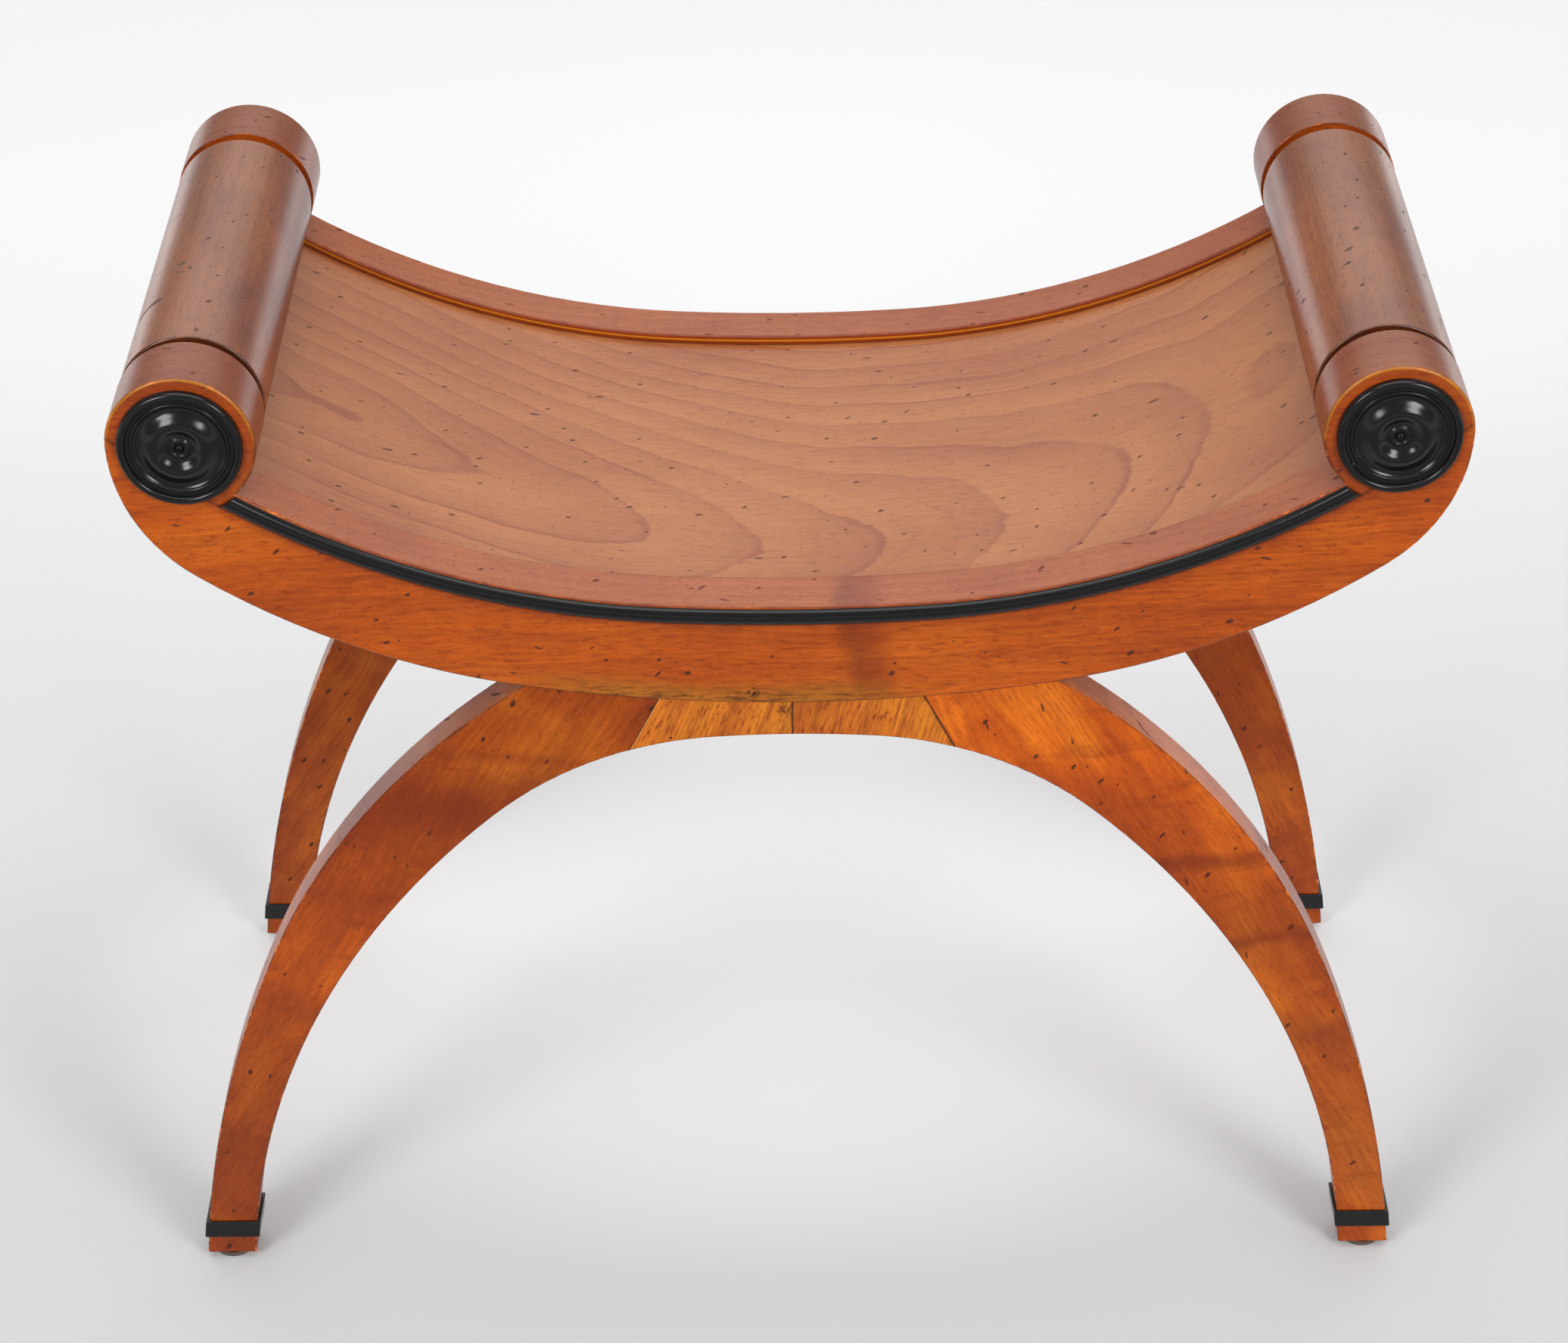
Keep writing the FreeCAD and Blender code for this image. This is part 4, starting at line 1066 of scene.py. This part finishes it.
class MakeSeat(bpy.types.Operator):
    """Dress the seat's veneer, panel and battens"""

    bl_idname = "stool.seat"
    bl_label = "Seat"

    def execute(self, context):
        finish = context.scene.stool_finish
        dress("seat_veneer", veneer(finish), "figured_veneer")
        under = toned(finish, 1.0, finish.deal, finish.deal)
        for name, turn, ring, nodes in (
            ("under_wood", 0, 70.0, ["seat_panel"]),
            ("batten_wood", -90, 110.0, ["left_batten", "right_batten"]),
        ):
            cover(wood(name, (0, 0, turn), (0.6, 0, 0.9), under, ring=ring, contrast=0.5,
                       blotch=0.3, mark_share=0.15), *nodes)
        return {"FINISHED"}


class MakeLegs(bpy.types.Operator):
    """Dress the four legs"""

    bl_idname = "stool.legs"
    bl_label = "Legs"

    def execute(self, context):
        finish = context.scene.stool_finish
        for (end, side), (share, patches, bands, lights) in LEG_FIGURES.items():
            sign = 1 if side == "right" else -1
            material = wood(
                f"{end}_{side}_leg_cherry", (0, -58 * sign, 0), (0.9, 0.4, 0.3 * sign),
                toned(finish, share), contrast=0.25, blotch=0.75, figure=0.3, weave=0.4,
                marks=((0, 0, 1), (1, 1, 0)), sheen=0.26,
                extra=partial(leg_marks, finish, patches, bands, lights),
            )
            dress(f"{end}_{side}_leg", material, "cherry")
        return {"FINISHED"}


class MakeBlocks(bpy.types.Operator):
    """Dress the four wedge blocks between the rails and the arches"""

    bl_idname = "stool.blocks"
    bl_label = "Blocks"

    def execute(self, context):
        finish = context.scene.stool_finish
        pale = toned(finish, 1.12, finish.block_light, finish.cherry_light)
        for end, _ in ENDS:
            for side, lean in (("left", 68), ("right", 76)):
                material = wood(
                    f"{end}_{side}_block_cherry", (0, lean, 0), (0.2, 0.7, 0.5), pale, ring=190.0,
                    contrast=0.35, blotch=0.5, figure=0.1, weave=0.8, mark_share=0.3,
                    extra=partial(joint_marks, finish),
                )
                dress(f"{end}_{side}_block", material, "pale_cherry")
        return {"FINISHED"}


class MakeBlackTrim(bpy.types.Operator):
    """Make the beads, rosettes and collars"""

    bl_idname = "stool.black_trim"
    bl_label = "Beads, rosettes and collars"

    def execute(self, context):
        sizes = context.scene.stool_sizes
        black = lacquer(context.scene.stool_finish)
        bend_bead(sizes, black)
        turn_rosettes(sizes, black)
        for end, _ in ENDS:
            for side in SIDES:
                dress(f"{end}_{side}_collar", black, "ebonised_wood")
        return {"FINISHED"}


class MakeFixings(bpy.types.Operator):
    """Make the pins, glides and dowels"""

    bl_idname = "stool.fixings"
    bl_label = "Pins, glides and dowels"

    def execute(self, context):
        sizes, finish = context.scene.stool_sizes, context.scene.stool_finish
        make_pins(sizes, metal("black_steel", srgb(30, 29, 30), 0.25, 0.1))
        make_glides(sizes, metal("glide_steel", finish.steel, 0.45, 0.7))
        pale = toned(finish, 1.0, finish.dowel, finish.dowel)
        beech = wood("dowel_beech", (0, 90, 0), (0.1, 0.1, 0.1), pale, ring=300.0, contrast=0.2,
                     blotch=0.2, mark_share=0.1)
        cover(beech, "leg_dowels", "block_dowels", "scarf_dowels", "centre_dowels")
        return {"FINISHED"}


def add_lamp(name, place, size, power):
    data = bpy.data.lights.new(name, "AREA")
    data.shape = "RECTANGLE"
    data.size, data.size_y = size
    data.energy = power
    lamp = bpy.data.objects.new(name, data)
    bpy.context.scene.collection.objects.link(lamp)
    lamp.location = place
    lamp.rotation_euler = (LAMP_TARGET - lamp.location).to_track_quat("-Z", "Y").to_euler()


def add_camera():
    """The camera that was fitted to the photo."""
    camera = bpy.data.objects.new("camera", bpy.data.cameras.new("camera"))
    camera.data.sensor_width = SENSOR_WIDTH
    camera.data.lens = FOCAL_PIXELS / PHOTO_WIDTH * SENSOR_WIDTH
    pitch, yaw, roll = (math.radians(angle) for angle in CAMERA_ANGLES)
    ahead = Vector((math.sin(yaw), math.cos(yaw), 0))
    right = Vector((math.cos(yaw), -math.sin(yaw), 0))
    upward = Vector((0, 0, 1))
    view = ahead * math.cos(pitch) - upward * math.sin(pitch)
    lift = upward * math.cos(pitch) + ahead * math.sin(pitch)
    across = right * math.cos(roll) + lift * math.sin(roll)
    up = lift * math.cos(roll) - right * math.sin(roll)
    turn = Matrix((across, up, -view)).transposed().to_4x4()
    camera.matrix_world = Matrix.Translation(CAMERA_PLACE) @ turn
    bpy.context.scene.collection.objects.link(camera)
    return camera


class MakeStage(bpy.types.Operator):
    """Lay the floor, and set up the lamps and the camera"""

    bl_idname = "stool.stage"
    bl_label = "Stage"

    def execute(self, context):
        scene = context.scene
        stage = scene.stool_stage
        bpy.ops.mesh.primitive_plane_add(size=24, location=(0, 0, -0.05 * MM))
        floor = added("floor")
        floor.data.materials.append(floor_paper(stage))

        world = Finish("even_light", "worlds")
        seen = world.field("ShaderNodeLightPath", "Is Camera Ray")
        strength = seen * (stage.backdrop - stage.sky) + stage.sky
        inputs = {"Color": (1, 1, 1), "Strength": strength}
        scene.world = world.end("ShaderNodeBackground", inputs, "ShaderNodeOutputWorld")

        for name, place, size, share in LAMPS:
            add_lamp(name, place, size, stage.lamp * share)
        scene.camera = add_camera()
        scene.view_settings.view_transform = "Standard"
        return {"FINISHED"}


OPERATORS = (
    MakeStage, MakeRails, MakeRollers, MakeSeat, MakeLegs, MakeBlocks, MakeBlackTrim, MakeFixings,
)


class StoolPanel(bpy.types.Panel):
    bl_idname = "VIEW3D_PT_stool"
    bl_label = "X frame stool"
    bl_space_type = "VIEW_3D"
    bl_region_type = "UI"
    bl_category = "Stool"

    def draw(self, context):
        for operator in OPERATORS:
            self.layout.operator(operator.bl_idname)
        for holder, kind in GROUPS:
            for name in kind.__annotations__:
                self.layout.prop(getattr(context.scene, holder), name)


GROUPS = (("stool_sizes", StoolSizes), ("stool_finish", StoolFinish), ("stool_stage", StoolStage))


def register():
    for name, group in GROUPS:
        bpy.utils.register_class(group)
        setattr(bpy.types.Scene, name, PointerProperty(type=group))
    for member in OPERATORS + (StoolPanel,):
        bpy.utils.register_class(member)


def unregister():
    for member in (StoolPanel,) + OPERATORS[::-1]:
        bpy.utils.unregister_class(member)
    for name, group in GROUPS[::-1]:
        delattr(bpy.types.Scene, name)
        bpy.utils.unregister_class(group)


def main():
    register()
    for operator in OPERATORS:
        family, name = operator.bl_idname.split(".")
        getattr(getattr(bpy.ops, family), name)()


if __name__ == "__main__":
    main()
